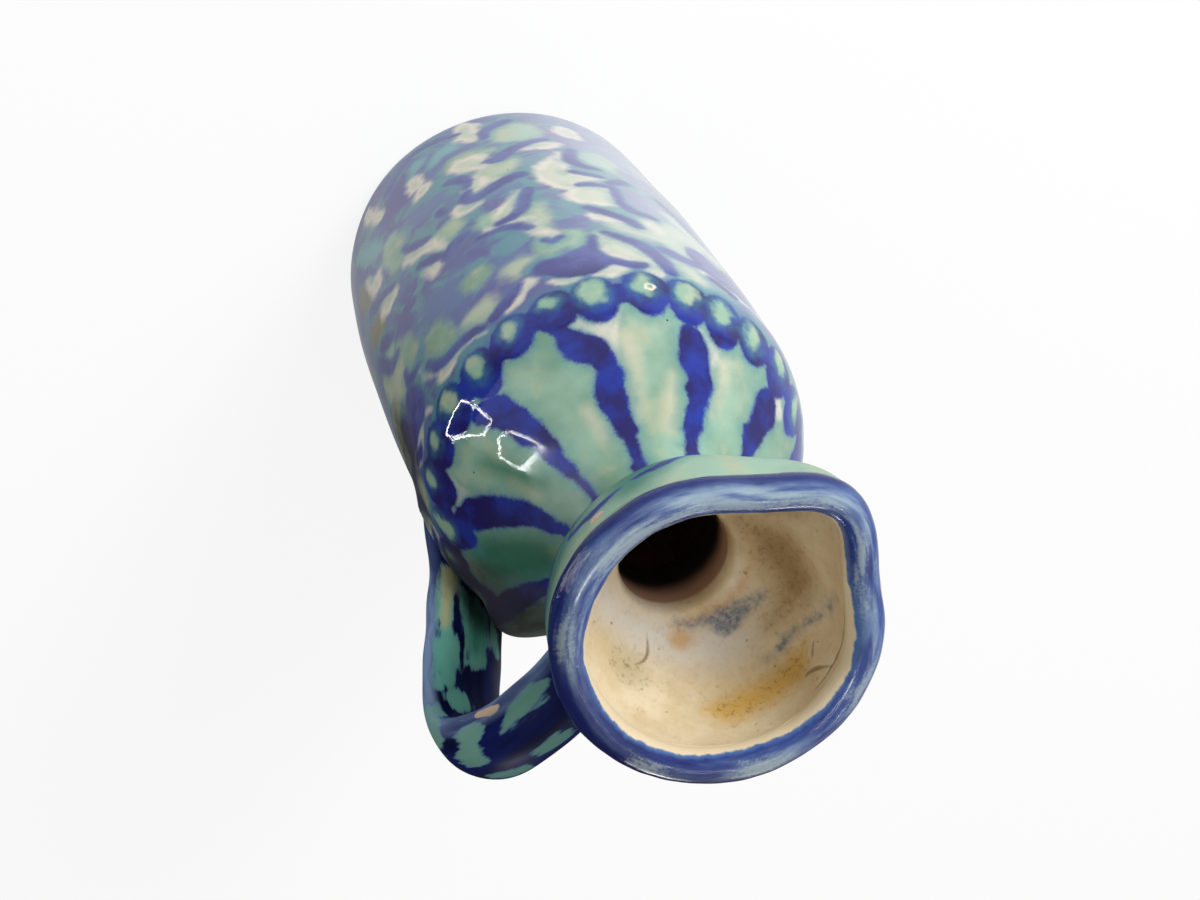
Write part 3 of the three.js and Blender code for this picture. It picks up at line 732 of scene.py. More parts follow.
# shoulder strokes: rows of (height, left, right) in degrees
shoulderStrokes = [
    [(217, -193, -187), (212.5, -194.3, -180.8), (210, -194.2, -182.3), (205, -195.2, -181),
     (202, -192.6, -181.4),
     (200, -189.8, -183.6), (199, -187.5, -185.5)],
    [(219, -157.3, -146.5), (215, -157.5, -147.8), (212, -158.6, -148.7), (210, -159.6, -146.6),
     (208, -159.6, -148.4),
     (205, -157.5, -144.5), (202, -156.4, -144.8), (200, -155.6, -145.2), (197, -153.4, -145.8),
     (195.3, -150.5, -147)],
    [(219, -120.5, -110.8), (215, -120.2, -109.9), (212, -120.8, -108.2), (210, -121.5, -108.4),
     (207, -122.8, -110.3),
     (205, -122, -112.5), (203, -121.1, -112.3), (200, -120.2, -107.3), (197.5, -118.5, -105.6),
     (195, -114.6, -105.3),
     (192.5, -111.6, -105.6), (190, -111, -105)],
    [(219, -81.4, -75.6), (215, -82.8, -75), (212, -85.2, -75), (209, -85, -76), (206, -85.4, -73.4),
     (203, -84.8, -74),
     (200, -84, -72.4), (197, -83.2, -71), (195, -82.3, -69.4), (193.5, -79.3, -69.2), (191.5, -75, -70)],
    [(219, -50.5, -41.4), (215, -53, -41.8), (212, -53, -41.4), (210, -52.2, -39.7), (205, -50.5, -36.7),
     (202, -48.3, -34.1), (200, -46.6, -32.8), (197.5, -44.9, -32.4), (195, -40.6, -31.1),
     (192.5, -36.7, -30.2)],
    [(219, -13, -4), (215, -11.7, -3), (210, -10.4, -1.5), (205, -9.1, 1), (202, -8.2, 2), (199, -6, 2.5),
     (196, -3, 3)],
]
shoulderCopies = [(1, 181), (2, 181), (3, 182), (4, 180)]  # strokes on the far side: (stroke, turn)
shoulderCream = [
    [(-199.5, 199.3), (-195.3, 203.2), (-192.4, 202), (-189.6, 199.8), (-192, 197.4), (-194.5, 199.2)],
    [(-167, 194.8), (-161, 199.5), (-158.3, 206), (-157.3, 204.5), (-155.5, 199.5), (-152, 196), (-150, 194.4),
     (-153, 195.2), (-157, 198), (-162, 197.6)],
    [(-128.6, 190.3), (-125, 196.5), (-121.8, 204.5), (-120.6, 200), (-117.5, 197), (-111.4, 192.4),
     (-114, 190),
     (-117, 193), (-121, 194), (-125, 193)],
    [(-84.6, 194.3), (-82, 194.6), (-78.5, 192.8), (-74.8, 191.1), (-78.6, 191.9), (-82, 193.3)],
    [(-50.3, 189.8), (-48.6, 193.6), (-46.7, 198.4), (-43.5, 196.4), (-40, 194.3), (-36.5, 191.8), (-40, 192.4),
     (-44, 193.2), (-47.5, 192.3)],
]
shoulderBlush = [
    [(-123.5, 217, 1.2), (-125.2, 211, 2.2), (-126.8, 205, 2.8), (-126, 200, 3.0)],
    [(-161.5, 214, 1.0), (-163.2, 208, 2.0), (-162.6, 202, 2.6)],
    [(-139.5, 218, 2.2), (-140.5, 213, 2.0), (-141.5, 208, 1.0)],
    [(-104, 217, 1.6), (-103, 211, 1.6)], [(-58, 214, 1.4), (-60, 208, 1.6)],
]
# deep green by the handle: (outline, grow)
shoulderGreens = [
    ([(-38, 216), (-30, 197), (-18, 194), (-9, 205), (-12, 217), (-24, 219)], 0.0),
    ([(-74, 214), (-66, 200), (-56, 198), (-54, 210), (-62, 217)], -3.0),
]
# chain of beads: (azimuth, top of the arch, top, foot and half width of the green bead)
chainBeads = [
    (-201.7, 200.4, 196.5, 187, 2.6), (-187.5, 198.9, 194.6, 184.5, 2.4), (-174, 197, 194.2, 184, 3.2),
    (-161.3, 197.9, 192.3, 181.5, 3.4), (-149.5, 194.6, 190.2, 179, 3.2), (-137, 192.8, 188.4, 177.5, 3.6),
    (-121.6, 193.2, 189.2, 178.3, 3.7), (-109.3, 191.2, 186, 178, 2.0), (-95.6, 190.4, 185.6, 177.5, 2.2),
    (-81.5, 193.2, 188, 178.4, 2.7), (-67.6, 191.8, 186.4, 176.8, 2.8), (-55.5, 190.4, 185.4, 177.8, 2.3),
    (-43.5, 193.2, 186.6, 177.4, 2.3),
]
# the band, the blotches on it and the fainter small beads; the span is in degrees
chainSettings = dict(
    farBeads=14, half=4.4, span=7.3, blotchDrop=0.4, blotchRise=1.4, beadDrop=0.9, beadRise=0.4, beadGrow=0.8,
    faint=1.6, faintFrom=2.6, faintTo=1.8, faintShrink=1.1,
)
# strokes that run on over the neck and up the cup: (azimuth, half width in mm, top)
cupStrokes = [(-190, 1.8, 236), (-152, 2.6, 244), (-115.5, 2.2, 238), (-78.5, 1.5, 240), (-46, 2.4, 246),
              (-8.5, 2.2, 240), (30, 2.4, 246), (65, 2.0, 240), (102, 2.4, 244), (136, 2.2, 240)]
# short dashes under the rim: (azimuth, height, half width)
cupDashes = [
    [(-130, 245, 0.8), (-137, 247.5, 2.0), (-144, 247, 0.8)],
    [(-150, 250.5, 0.6), (-154, 251.5, 1.6), (-159, 252.5, 0.6)],
    [(-127, 256, 0.8), (-117, 261, 1.9), (-106, 264, 1.0)],
    [(-99, 266, 0.8), (-89, 268.5, 1.6), (-76, 267, 1.0)], [(-92, 250, 0.8), (-84, 256, 2.0), (-77, 262, 1.0)],
    [(-68, 262, 0.8), (-56, 266, 2.0), (-44, 267, 1.0)], [(-50, 250, 1.0), (-42, 257, 2.2), (-36, 262, 1.0)],
    [(-24, 262, 0.8), (-14, 266, 1.8), (-2, 266, 0.8)], [(24, 256, 0.8), (36, 262, 2.0), (48, 265, 1.0)],
    [(66, 264, 0.8), (80, 268, 1.8), (92, 267, 0.8)], [(104, 254, 0.8), (114, 260, 2.0), (124, 264, 1.0)],
    [(142, 262, 0.8), (156, 267, 1.8), (168, 266, 0.8)],
]
cupGreens = [
    [(-150, 243), (-128, 241), (-104, 240), (-98, 252), (-110, 257), (-130, 252), (-150, 251)],
    [(-122, 240), (-104, 238), (-94, 252), (-98, 272), (-112, 270), (-122, 256)],
    [(-88, 238), (-62, 238), (-40, 246), (-36, 268), (-64, 274), (-86, 262)],
    [(-30, 236), (-10, 240), (-4, 264), (-28, 270)],
    [(60, 238), (84, 242), (86, 262), (62, 266)],
    [(126, 238), (150, 242), (150, 266), (128, 262)],
]
cupChip = (-89, 272.3, 3.2, 1.3)  # azimuth, height, half sizes
# painted shade, dark brown, in the crotch under the strap and beside its foot: (outline, grow)
paintedShadePatches = [
    ([(-19, 186), (-15, 194), (-10, 202), (-4, 206), (4, 210), (14, 213), (26, 212), (38, 205), (46, 193),
      (47, 180), (30, 170), (10, 166), (-10, 170)], 4.0),
    ([(-46, 168), (-30, 172), (-16, 166), (-18, 146), (-28, 130), (-42, 124), (-49, 138), (-49, 156)], -2.5),
]
bareRing = dict(at=-138.3, height=183.3, size=1.3, half=0.45, jugRadius=58.0)  # left by a fingertip on one bead
# window light in the gloss: strips this far away, mirrored on the shoulder about one azimuth and on the rim
glintSettings = dict(
    away=0.42, at=-70.0, half=24.0, shoulderWidth=0.0065, rimWidth=0.05, shoulderGlow=44.0, rimGlow=26.0,
    dullFrom=198.0, dullTo=208.0, neckFrom=209.0, neckTo=215.0,
)


def ovalAt(az, z, across, tall):
    turn = np.arange(12) * math.pi / 6
    return np.stack([az + across * np.cos(turn), z + tall * np.sin(turn)], 1)


def brush(face, field, drawings, turns=(0,), grow=0.0):
    # outlines are filled; paths whose points have a half width are drawn as strokes
    for points in drawings:
        for turn in turns:
            placed = onJug(points, turn)
            if placed.shape[1] == 3:
                face.stroke(field, placed)
            else:
                face.shape(field, placed, grow)


def cupStroke(az, half, top):
    foot = shoulderSettings["topHeight"]
    return [(az, foot - 2, half * 0.9), (az + 1, foot + 7, half * 0.8),
            (az + 2, 0.5 * (foot + top), half), (az, top, half * 0.3)]


def paintChain(face, fields):
    s = chainSettings
    beads = list(chainBeads)
    first, last = chainBeads[-1][0], chainBeads[0][0] + 360
    for i in range(s["farBeads"]):
        kind = chainBeads[(5 * i + 3) % len(chainBeads)]
        beads.append((first + (last - first) * (i + 1) / (s["farBeads"] + 1),) + kind[1:])
    band = [(az, 0.5 * (arch + low), s["half"]) for az, arch, top, low, half in beads]
    brush(face, fields["cobalt"], [band + [(band[0][0] + 360,) + band[0][1:]]])
    for az, arch, top, low, half in beads:
        # a blotch of cobalt that runs into the next one, with a soft green bead in it
        blotch = ovalAt(az, 0.5 * (arch + low) - s["blotchDrop"], s["span"],
                        0.5 * (arch - low) + s["blotchRise"])
        brush(face, fields["cobalt"], [blotch])
        faint = s["faint"] * smoothStep(s["faintFrom"], s["faintTo"], half)  # small beads are a breath of green
        bead = ovalAt(az, 0.5 * (top + low) - s["beadDrop"], half + s["beadGrow"] + faint,
                      0.5 * (top - low) + s["beadRise"])
        brush(face, fields["bead"], [bead], grow=-s["faintShrink"] * faint)


def paintJug(piece):
    co = corners(piece)
    height = co[:, 2]
    face = Surface(azimuth(co), runAt(height), fromAxis(co) * rad, 360.0)
    fields = {name: face.blank() for name in paintFields}
    body, glint = bodySettings, glintSettings
    for wash, outline in bodyLeaves:
        brush(face, fields[wash], [outline], body["repeats"], body["leafSpread"])
    brush(face, fields["cobalt"], bodyBlueShapes + bodyCommas, body["repeats"])
    brush(face, fields["cream"], bodyCreamLines, body["repeats"])
    dome = np.clip(face.run - runAt(shoulderSettings["domeFrom"]), -fieldReach, fieldReach)
    fields["sage"] = np.maximum(fields["sage"], dome)
    strokes = [[(left, z) for z, left, _ in rows] + [(right, z) for z, _, right in rows[::-1]]
               for rows in shoulderStrokes]
    brush(face, fields["cobalt"], strokes)
    brush(face, fields["cream"], shoulderCream)
    for which, turn in shoulderCopies:
        brush(face, fields["cobalt"], [strokes[which]], (turn,))
        brush(face, fields["cream"], [shoulderCream[which]], (turn,))
    brush(face, fields["blush"], shoulderBlush)
    brush(face, fields["cobalt"], cupDashes + [cupStroke(*stroke) for stroke in cupStrokes])
    brush(face, fields["forest"], cupGreens)
    for name, patches in (("forest", shoulderGreens), ("paintedShade", paintedShadePatches)):
        for outline, grow in patches:
            brush(face, fields[name], [outline], grow=grow)
    paintChain(face, fields)
    r = bareRing
    ring = ovalAt(r["at"], r["height"], r["size"] / (r["jugRadius"] * rad), r["size"])
    ring = np.column_stack([ring, np.full(len(ring), r["half"])])
    brush(face, fields["mark"], [np.vstack([ring, ring[:1]])])
    brush(face, fields["chip"], [ovalAt(*cupChip)])
    fields["haze"] = smoothStep(body["hazeFrom"], body["hazeTo"], height)
    # painted sheen: a pale band down one side of the body, standing in for a broad reflection
    pale = swell(face.turn, body["sheenAt"], body["sheenHalf"])
    fields["paintedSheen"] = pale * smoothStep(body["sheenFrom"], body["sheenTo"], height)
    # no sharp mirror in the hollow of the neck, except where the window shows
    window = swell(face.turn, glint["at"], glint["half"])
    high = smoothStep(glint["dullFrom"], glint["dullTo"], height) * (1 - window)
    fields["dull"] = np.maximum(high, smoothStep(glint["neckFrom"], glint["neckTo"], height))
    storeFields(piece, fields)


def bareBody(r, z):
    s = bodySettings
    return (r < jugRadius(z) - s["skin"]) & (z > s["footTop"]) | (z < s["underside"])


jugBody = throwPiece("jugBody", bodyProfile(), False, glazed)
jugShoulder = throwPiece("jugShoulder", shoulderProfile(), True, glazed)
for piece in (jugBody, jugShoulder):
    paintJug(piece)
    coatInside(piece, bareClay, bareBody)
    setCorners(piece, handWobble(corners(piece)))
print("body and shoulder thrown and painted", len(jugBody.data.polygons), len(jugShoulder.data.polygons))


def mouthPush(az):
    s = mouthSettings
    away = wrapped(az - s["lipAngle"]) / s["lipHalfAngle"]
    lip = s["lip"] * (1 - away ** 2) * np.exp(-s["lipFade"] * away ** 2)
    return lip - s["oval"] * np.cos(2 * (az - s["ovalAngle"]) * rad)


def shapeMouth(co):
    # pulls the lip, makes the plan oval and leans the rim
    s = mouthSettings
    share = smoothStep(s["waistHeight"], s["cupTop"], co[:, 2])
    out = pushed(co, share * mouthPush(azimuth(co)))
    towards = s["leanAngle"] * rad
    aside = co[:, 0] * math.cos(towards) + co[:, 1] * math.sin(towards)
    out[:, 2] += share * math.tan(s["lean"] * rad) * aside
    return out


def bowlCurve(count):
    s = mouthSettings
    inner = s["cupRadius"] - s["thickness"]
    return bezier((s["shelfRadius"], s["shelfHeight"]),
                  (s["shelfRadius"] + s["bowlRun"], s["shelfHeight"] + s["bowlRise"]),
                  (inner - s["bowlSide"], s["cupTop"] - s["bowlDrop"]), (inner, s["cupTop"]), count)


def mouthProfile():
    s = mouthSettings
    inner = s["cupRadius"] - s["thickness"]
    shelf = bezier((s["shelfRadius"], s["shelfHeight"]), s["shelfEdge"], (s["throatRadius"], s["shelfFoot"]),
                   (s["throatRadius"], s["throatTop"]), 9)
    throat = np.stack([np.full(14, s["throatRadius"]), np.linspace(s["throatTop"], s["throatFoot"], 14)], 1)
    edge = [(inner, s["tuckTop"]), (inner, s["tuckTop"] - 0.8), (inner, s["cupTop"] + 0.8)]
    wall = np.vstack([edge, bowlCurve(64)[::-1]])
    wall[:, 0] -= s["tuck"] * np.maximum(wall[:, 1] - s["tuckFrom"], 0) ** 2  # runs into the rim's inner side
    top = [(s["cupRadius"] - 1, s["cupTop"] + 1), (inner + 2, s["tuckTop"] + 0.2)]
    foot = [(s["collar"], shoulderSettings["topHeight"])]
    return np.vstack([neckCurve(26), cupCurve(54)[1:], top, wall, shelf[1:], throat[1:], foot])


# stains in the bowl: (stain, outline of (azimuth, height))
bowlStains = [
    ("chalk", [(-40, 244.5), (-29, 242.4), (-7, 242.1), (18, 242.1), (40, 242.3), (58, 243.6), (80, 245),
               (92, 249.5),
               (74, 252), (50, 249.5), (20, 247.6), (-10, 247), (-30, 247.5)]),
    ("smear", [(47, 242.7), (68, 243.1), (85, 243.4), (101, 244.2), (117, 246.8), (113, 247.8), (101, 246.6),
               (88, 247.2), (78, 246.8), (70, 244.6), (55, 243.6)]),
    ("smear", [(88, 256.2), (96, 256), (107, 256.2), (117, 259.4), (132, 263.8), (140, 267.7), (136, 268),
               (124, 263.2), (112, 259.2), (98, 257.8), (89, 257.4)]),
    ("rust", [(43, 244.6), (50, 243.8), (58, 244.8), (57, 246.4), (50, 246.8), (44, 246)]),
    ("ochre", [(53, 262.3), (65, 260.2), (77, 260), (90, 260.6), (102, 260.6), (108, 263), (99, 267.4),
               (93, 268.6),
               (77, 267.4), (61, 267.4)]),
    ("tan", [(176, 242.7), (166, 246.7), (158, 252), (146, 255), (133, 259), (114, 254), (100, 250.8),
             (118, 249.2),
             (133, 245.6), (148, 243.2)]),
    ("tan", [(-178, 244), (-160, 250), (-150, 262), (-160, 270), (-176, 262), (-188, 254)]),
    ("moss", [(6, 250), (16, 249), (24, 250.5), (28, 254), (20, 257), (8, 255)]),
]
# nicks, cracks and finger lines: (azimuth, height, half width)
bowlNicks = [
    [(25, 244.4, 0.1), (27.2, 246.7, 0.35), (26, 249.2, 0.4), (20, 251, 0.1)],
    [(99, 268.2, 0.3), (104, 269.3, 0.7), (109, 272.5, 0.3), (112, 275, 0.25)],
    [(112, 264, 0.25), (109, 265, 0.4), (106.5, 266.3, 0.25)],
    [(146, 273.6, 0.2), (130, 274.6, 0.45), (112, 275.2, 0.5), (100, 275, 0.2)],
]
throatRing = [(44, 243.2, 0.1), (70, 243.0, 0.5), (110, 243.4, 0.6), (160, 243.6, 0.2)]
bowlSpecks = [(-16, 248.9), (-4, 245.8), (35, 246.6), (122, 243.1), (35, 262.4), (87, 250), (103, 272.5),
              (24, 256.9),
              (70, 271.5), (148, 249), (154, 256), (62, 256.4)]
bowlFields = ("chalk", "smear", "rust", "ochre", "tan", "moss", "nick", "throat")
# deep is painted shade for the inside of the throat
slipColours = dict(
    light=paint(224, 210, 180), warm=paint(210, 190, 152), tan=paint(146, 114, 68), ochre=paint(204, 164, 82),
    chalk=paint(220, 220, 218), rust=paint(204, 158, 92), smear=paint(92, 108, 132), moss=paint(150, 148, 116),
    nick=paint(134, 112, 80), wall=paint(176, 140, 120), deep=paint(30, 23, 22), speck=paint(112, 96, 72),
    soil=paint(112, 84, 48),
)


def slipGlaze():
    # cream slip under a thin glaze, stained and scuffed
    g = GlazePot("slipGlaze", slipColours)
    cloud = g.noise(g.at, 58.0, 4.0, 0.6)
    blots = g.noise(g.at, 130.0, 3.0)
    stain = g.noise(g.at, 260.0, 5.0, 0.7)
    dust = g.noise(g.at, 560.0, 4.0, 0.75)
    grain = g.noise(g.at, 1100.0, 3.0, 0.6)
    wander = g.scaled(stain, 7.0, -3.5)
    g.colour = g.blend(g.ramp(cloud, 0.34, 0.66), "light", "warm")
    soiled = 0.0
    for name, soft, amount, soils in (
        ("tan", 7.0, 0.85, True), ("chalk", 6.5, 0.75, False), ("ochre", 3.6, 0.9, True),
        ("rust", 2.4, 0.75, False), ("moss", 4.5, 0.4, True),
    ):
        mask = g.painted(name, wander, soft)
        g.lay(g.times(mask, amount), name)
        if soils:
            soiled = g.sums("MAXIMUM", soiled, mask)
    smear = g.painted("smear", g.times(wander, 0.5), 1.8, -0.2)
    broken = g.times(g.ramp(blots, 0.36, 0.6, 0.4, 0.95), g.ramp(dust, 0.36, 0.6, 0.55, 1.0))
    g.lay(g.times(smear, broken), "smear")
    g.lay(g.ramp(stain, 0.58, 0.74, 0.0, 0.3), "tan")
    gritty = g.times(g.ramp(dust, 0.5, 0.68, 0.0, 0.55), g.ramp(soiled, 0.0, 1.0, 0.24, 1.0))
    g.lay(gritty, "soil")
    nick = g.painted("nick", g.scaled(stain, 0.8, -0.4), 0.3)
    g.lay(g.times(nick, 0.8), "nick")
    g.lay(g.specks(210.0, 0.06, 0.35), "speck")
    down = g.field("throat")  # mm below the shelf
    g.lay(g.ramp(down, 2.8, 4.6), "wall")
    # painted shade: the throat is painted darker towards black the deeper it goes
    g.lay(g.ramp(down, 6.0, 15.0), "deep")
    relief = g.scaled(nick, -2.5, g.scaled(grain, 0.4, stain))
    return g.finish(g.ramp(stain, 0.3, 0.7, 0.3, 0.5), relief, 0.35, 0.3)


def paintBowl(piece):
    # stains and nicks, and how deep each vertex is dented
    s = mouthSettings
    co = corners(piece)
    line = bowlCurve(120)
    runs = runAlong(line)
    bowlRun = lambda z: np.interp(z, line[:, 1], runs)
    onBowl = lambda points: np.array([(p[0], bowlRun(p[1]), *p[2:]) for p in points], float)
    face = Surface(azimuth(co), bowlRun(co[:, 2]), fromAxis(co) * rad, 360.0)
    fields = {name: face.blank() for name in bowlFields}
    for stain, outline in bowlStains:
        face.shape(fields[stain], onBowl(outline))
    face.stroke(fields["rust"], onBowl(throatRing))
    dots = [[(az - 0.5, z, 0.2), (az, z + 0.1, 0.32), (az + 0.5, z, 0.2)] for az, z in bowlSpecks]
    for path in bowlNicks + dots:
        face.stroke(fields["nick"], onBowl(path))
    down = s["shelfHeight"] - s["throatFrom"] - co[:, 2]
    fields["throat"] = np.clip(down, -fieldReach, s["throatReach"])
    storeFields(piece, fields)
    dent = s["dent"] * smoothStep(s["dentFrom"], s["dentTo"], fields["nick"])
    return dent * slipped(fromAxis(co), co[:, 2])


def slipped(r, z):
    return r < jugRadius(z) - mouthSettings["skin"]


def throwMouth():
    s = mouthSettings
    piece = throwPiece("jugMouth", mouthProfile(), True, glazed)
    paintJug(piece)
    dent = paintBowl(piece)
    coatInside(piece, slipGlaze(), slipped)
    co = corners(piece)
    uneven = s["uneven"] * softNoise(co, s["unevenSize"], seed=9)
    uneven *= smoothStep(s["unevenFrom"], s["unevenTo"], co[:, 2])
    setCorners(piece, shapeMouth(pushed(co, dent + uneven)))
    return piece


# turns and arcs in degrees; slipWaves are (size, azimuth, half), wornSpots (azimuth, half, turn)
rimSettings = dict(
    centre=40.25, height=279.93, radius=4.9, sides=48, lumps=0.16, lumpSize=26.0, ripple=0.05, rippleSize=9.0,
    slipLine=142.0, slipEnd=290.0, slipWaves=((20, 60, 32), (24, 172, 13), (-6, 110, 14)),
    slipWander=2.5, wanderRing=40.0, wanderSize=9.0, grainRing=6.0,
    shadeSideAt=5.0, shadeSideHalf=70.0, shadeSideSize=7.0, shadeSideEdge=3.4, shadeSideTilt=2.2, shadeSideTurn=-10.0,
    shadeUnderAt=-20.0, shadeUnderSize=9.0, shadeUnderEdge=5.5,
    crestAt=88.0, crestHalf=30.0, crestLeast=0.35, crestDip=(26, -132, 46),
    paleArcs=((-110, 34), (-142, 26), (-170, 22), (66, 20), (-40, 14)),
    wornSpots=((-100, 26, 96), (-48, 9, 84), (-150, 30, 100), (168, 16, 96), (64, 12, 92), (18, 8, 74),
               (110, 12, 84)),
    wornTall=34.0, wornDeep=3.2,
)
rimColours = dict(
    cobalt=paint(32, 56, 130), pale=paint(76, 106, 160), paintedHighlight=paint(152, 174, 188), navy=paint(22, 28, 88),
    worn=paint(156, 168, 166), fringe=paint(88, 126, 176), cream=paint(218, 202, 170),
)


def rimGlaze():
    # cobalt dragged along the bead, rubbed through on top, cream slip climbing its inner side; a painted
    # highlight along the top and painted shade on the handle side and the outer underside
    g = GlazePot("rimGlaze", rimColours)
    streak = g.noise(g.field("grain", "Vector"), 420.0, 3.0, 0.55)
    fine = g.noise(g.at, 900.0, 4.0, 0.7)
    cloud = g.noise(g.at, 90.0, 3.0, 0.6)
    g.colour = g.blend(g.ramp(streak, 0.4, 0.7, 0.0, 0.9), "cobalt", "pale")
    # painted highlight along the top of the bead, broken up by the streaks
    g.lay(g.times(g.field("paintedHighlight"), g.ramp(streak, 0.34, 0.6, 0.25, 1.0)), "paintedHighlight")
    # painted shade: navy on the handle side and the outer underside of the bead
    g.lay(g.times(g.painted("navy", g.scaled(cloud, 6.0, -3.0), 3.5), 0.85), "navy")
    g.lay(g.ramp(streak, 0.36, 0.28, 0.0, 0.6), "navy")
    worn = g.painted("worn", g.scaled(streak, 14.0, g.scaled(fine, 9.0, -12.8)), 2.2)
    g.lay(g.times(worn, 0.6), "worn")
    jag = g.scaled(g.noise(g.at, 420.0, 3.0, 0.6), 1.4, -0.7)
    slip = g.painted("slipEdge", jag, 0.35)
    g.lay(g.ramp(g.depth("slipEdge", jag), -1.8, 0.2, 0.0, 0.75), "fringe")
    g.lay(slip, "cream")
    rough = g.ramp(g.sums("MAXIMUM", worn, slip), 0.0, 1.0, 0.09, 0.36)
    relief = g.scaled(worn, -0.4, g.scaled(streak, 1.6, fine))
    return g.finish(rough, relief, 0.3, 0.26)


def paintRim(piece):
    s = rimSettings
    co = corners(piece)
    az = azimuth(co)
    turn = np.degrees(np.arctan2(co[:, 2] - s["height"], fromAxis(co) - s["centre"])) % 360  # round the bead
    mmPerTurn = s["radius"] * rad
    x, y = np.cos(az * rad), np.sin(az * rad)
    storeGrain(piece, np.stack([s["grainRing"] * x, s["grainRing"] * y, turn * mmPerTurn], 1))
    line = s["slipLine"] + sum(tall * swell(az, at, half) for tall, at, half in s["slipWaves"])
    line += s["slipWander"] * softNoise(np.stack([x, y, 0 * az], 1) * s["wanderRing"], s["wanderSize"], seed=5)
    inner = np.minimum(turn - line, s["slipEnd"] - turn) * mmPerTurn
    inner[turn > s["slipEnd"]] = -fieldReach
    worn = np.full(len(az), -fieldReach)
    for middle, half, over in s["wornSpots"]:
        away = np.hypot(wrapped(az - middle) / half, (turn - over) / s["wornTall"])
        worn = np.maximum(worn, s["wornDeep"] * (1 - away))
    dip, dipAt, dipHalf = s["crestDip"]
    # painted highlight: a pale band along the top of the bead, stronger over the paleArcs
    paintedHighlight = np.exp(-((turn - s["crestAt"] + dip * swell(az, dipAt, dipHalf)) / s["crestHalf"]) ** 2)
    pale = np.maximum.reduce([swell(az, at, half) for at, half in s["paleArcs"]])
    paintedHighlight *= s["crestLeast"] + (1 - s["crestLeast"]) * pale
    # painted shade: dark navy on the handle side of the bead
    navy = s["shadeSideSize"] * swell(az, s["shadeSideAt"], s["shadeSideHalf"]) - s["shadeSideEdge"]
    navy += s["shadeSideTilt"] * np.cos((turn - s["shadeSideTurn"]) * rad)
    # painted shade: the outer underside of the bead is painted dark navy
    under = s["shadeUnderSize"] * np.cos((turn - s["shadeUnderAt"]) * rad) - s["shadeUnderEdge"]
    storeFields(piece, dict(
        slipEdge=np.clip(inner, -fieldReach, fieldReach), worn=np.clip(worn, -fieldReach, fieldReach),
        paintedHighlight=paintedHighlight, navy=np.maximum(navy, under),
    ))


def throwRim():
    s = rimSettings
    ring = arc((s["centre"], s["height"]), s["radius"], 0, 360, s["sides"] + 1)[:-1]
    piece = throwPiece("jugRim", ring, True, rimGlaze())
    paintRim(piece)
    co = corners(piece)
    middle = co * [1, 1, 0] / fromAxis(co)[:, None] * s["centre"] + [0, 0, s["height"]]
    lump = s["lumps"] * softNoise(middle, s["lumpSize"], seed=12)
    lump += s["ripple"] * softNoise(co, s["rippleSize"], seed=13)
    setCorners(piece, shapeMouth(middle + (co - middle) * (1 + lump / s["radius"])[:, None]))
    return piece


jugMouth = throwMouth()
jugRim = throwRim()
print("mouth and rim thrown", len(jugMouth.data.polygons), len(jugRim.data.polygons))

strapSettings = dict(
    topWidth=23.8, footWidth=32.2, thickness=11.3, footRoot=52.0, topFlare=1.1, footFlare=1.5, footSwell=1.7,
    topFlareLength=30.0, wideFrom=0.52, sections=280, sides=112, innerHollow=0.2, outerHollow=-0.2,
    wobble=0.0175, wobbleSize=18.0, sink=3.0, footFade=16.0, footDip=3.4, sharp=60.0,
    arm=((32.5, 250), (54.6, 257.9), (81.5, 251.7), (81.5, 237.1)),
    grip=((81.5, 237.1), (81.5, 219), (64.4, 181), (56.4, 132)),
    edgeFrom=0.06, edgeTo=0.15, brushDrag=0.24,
)


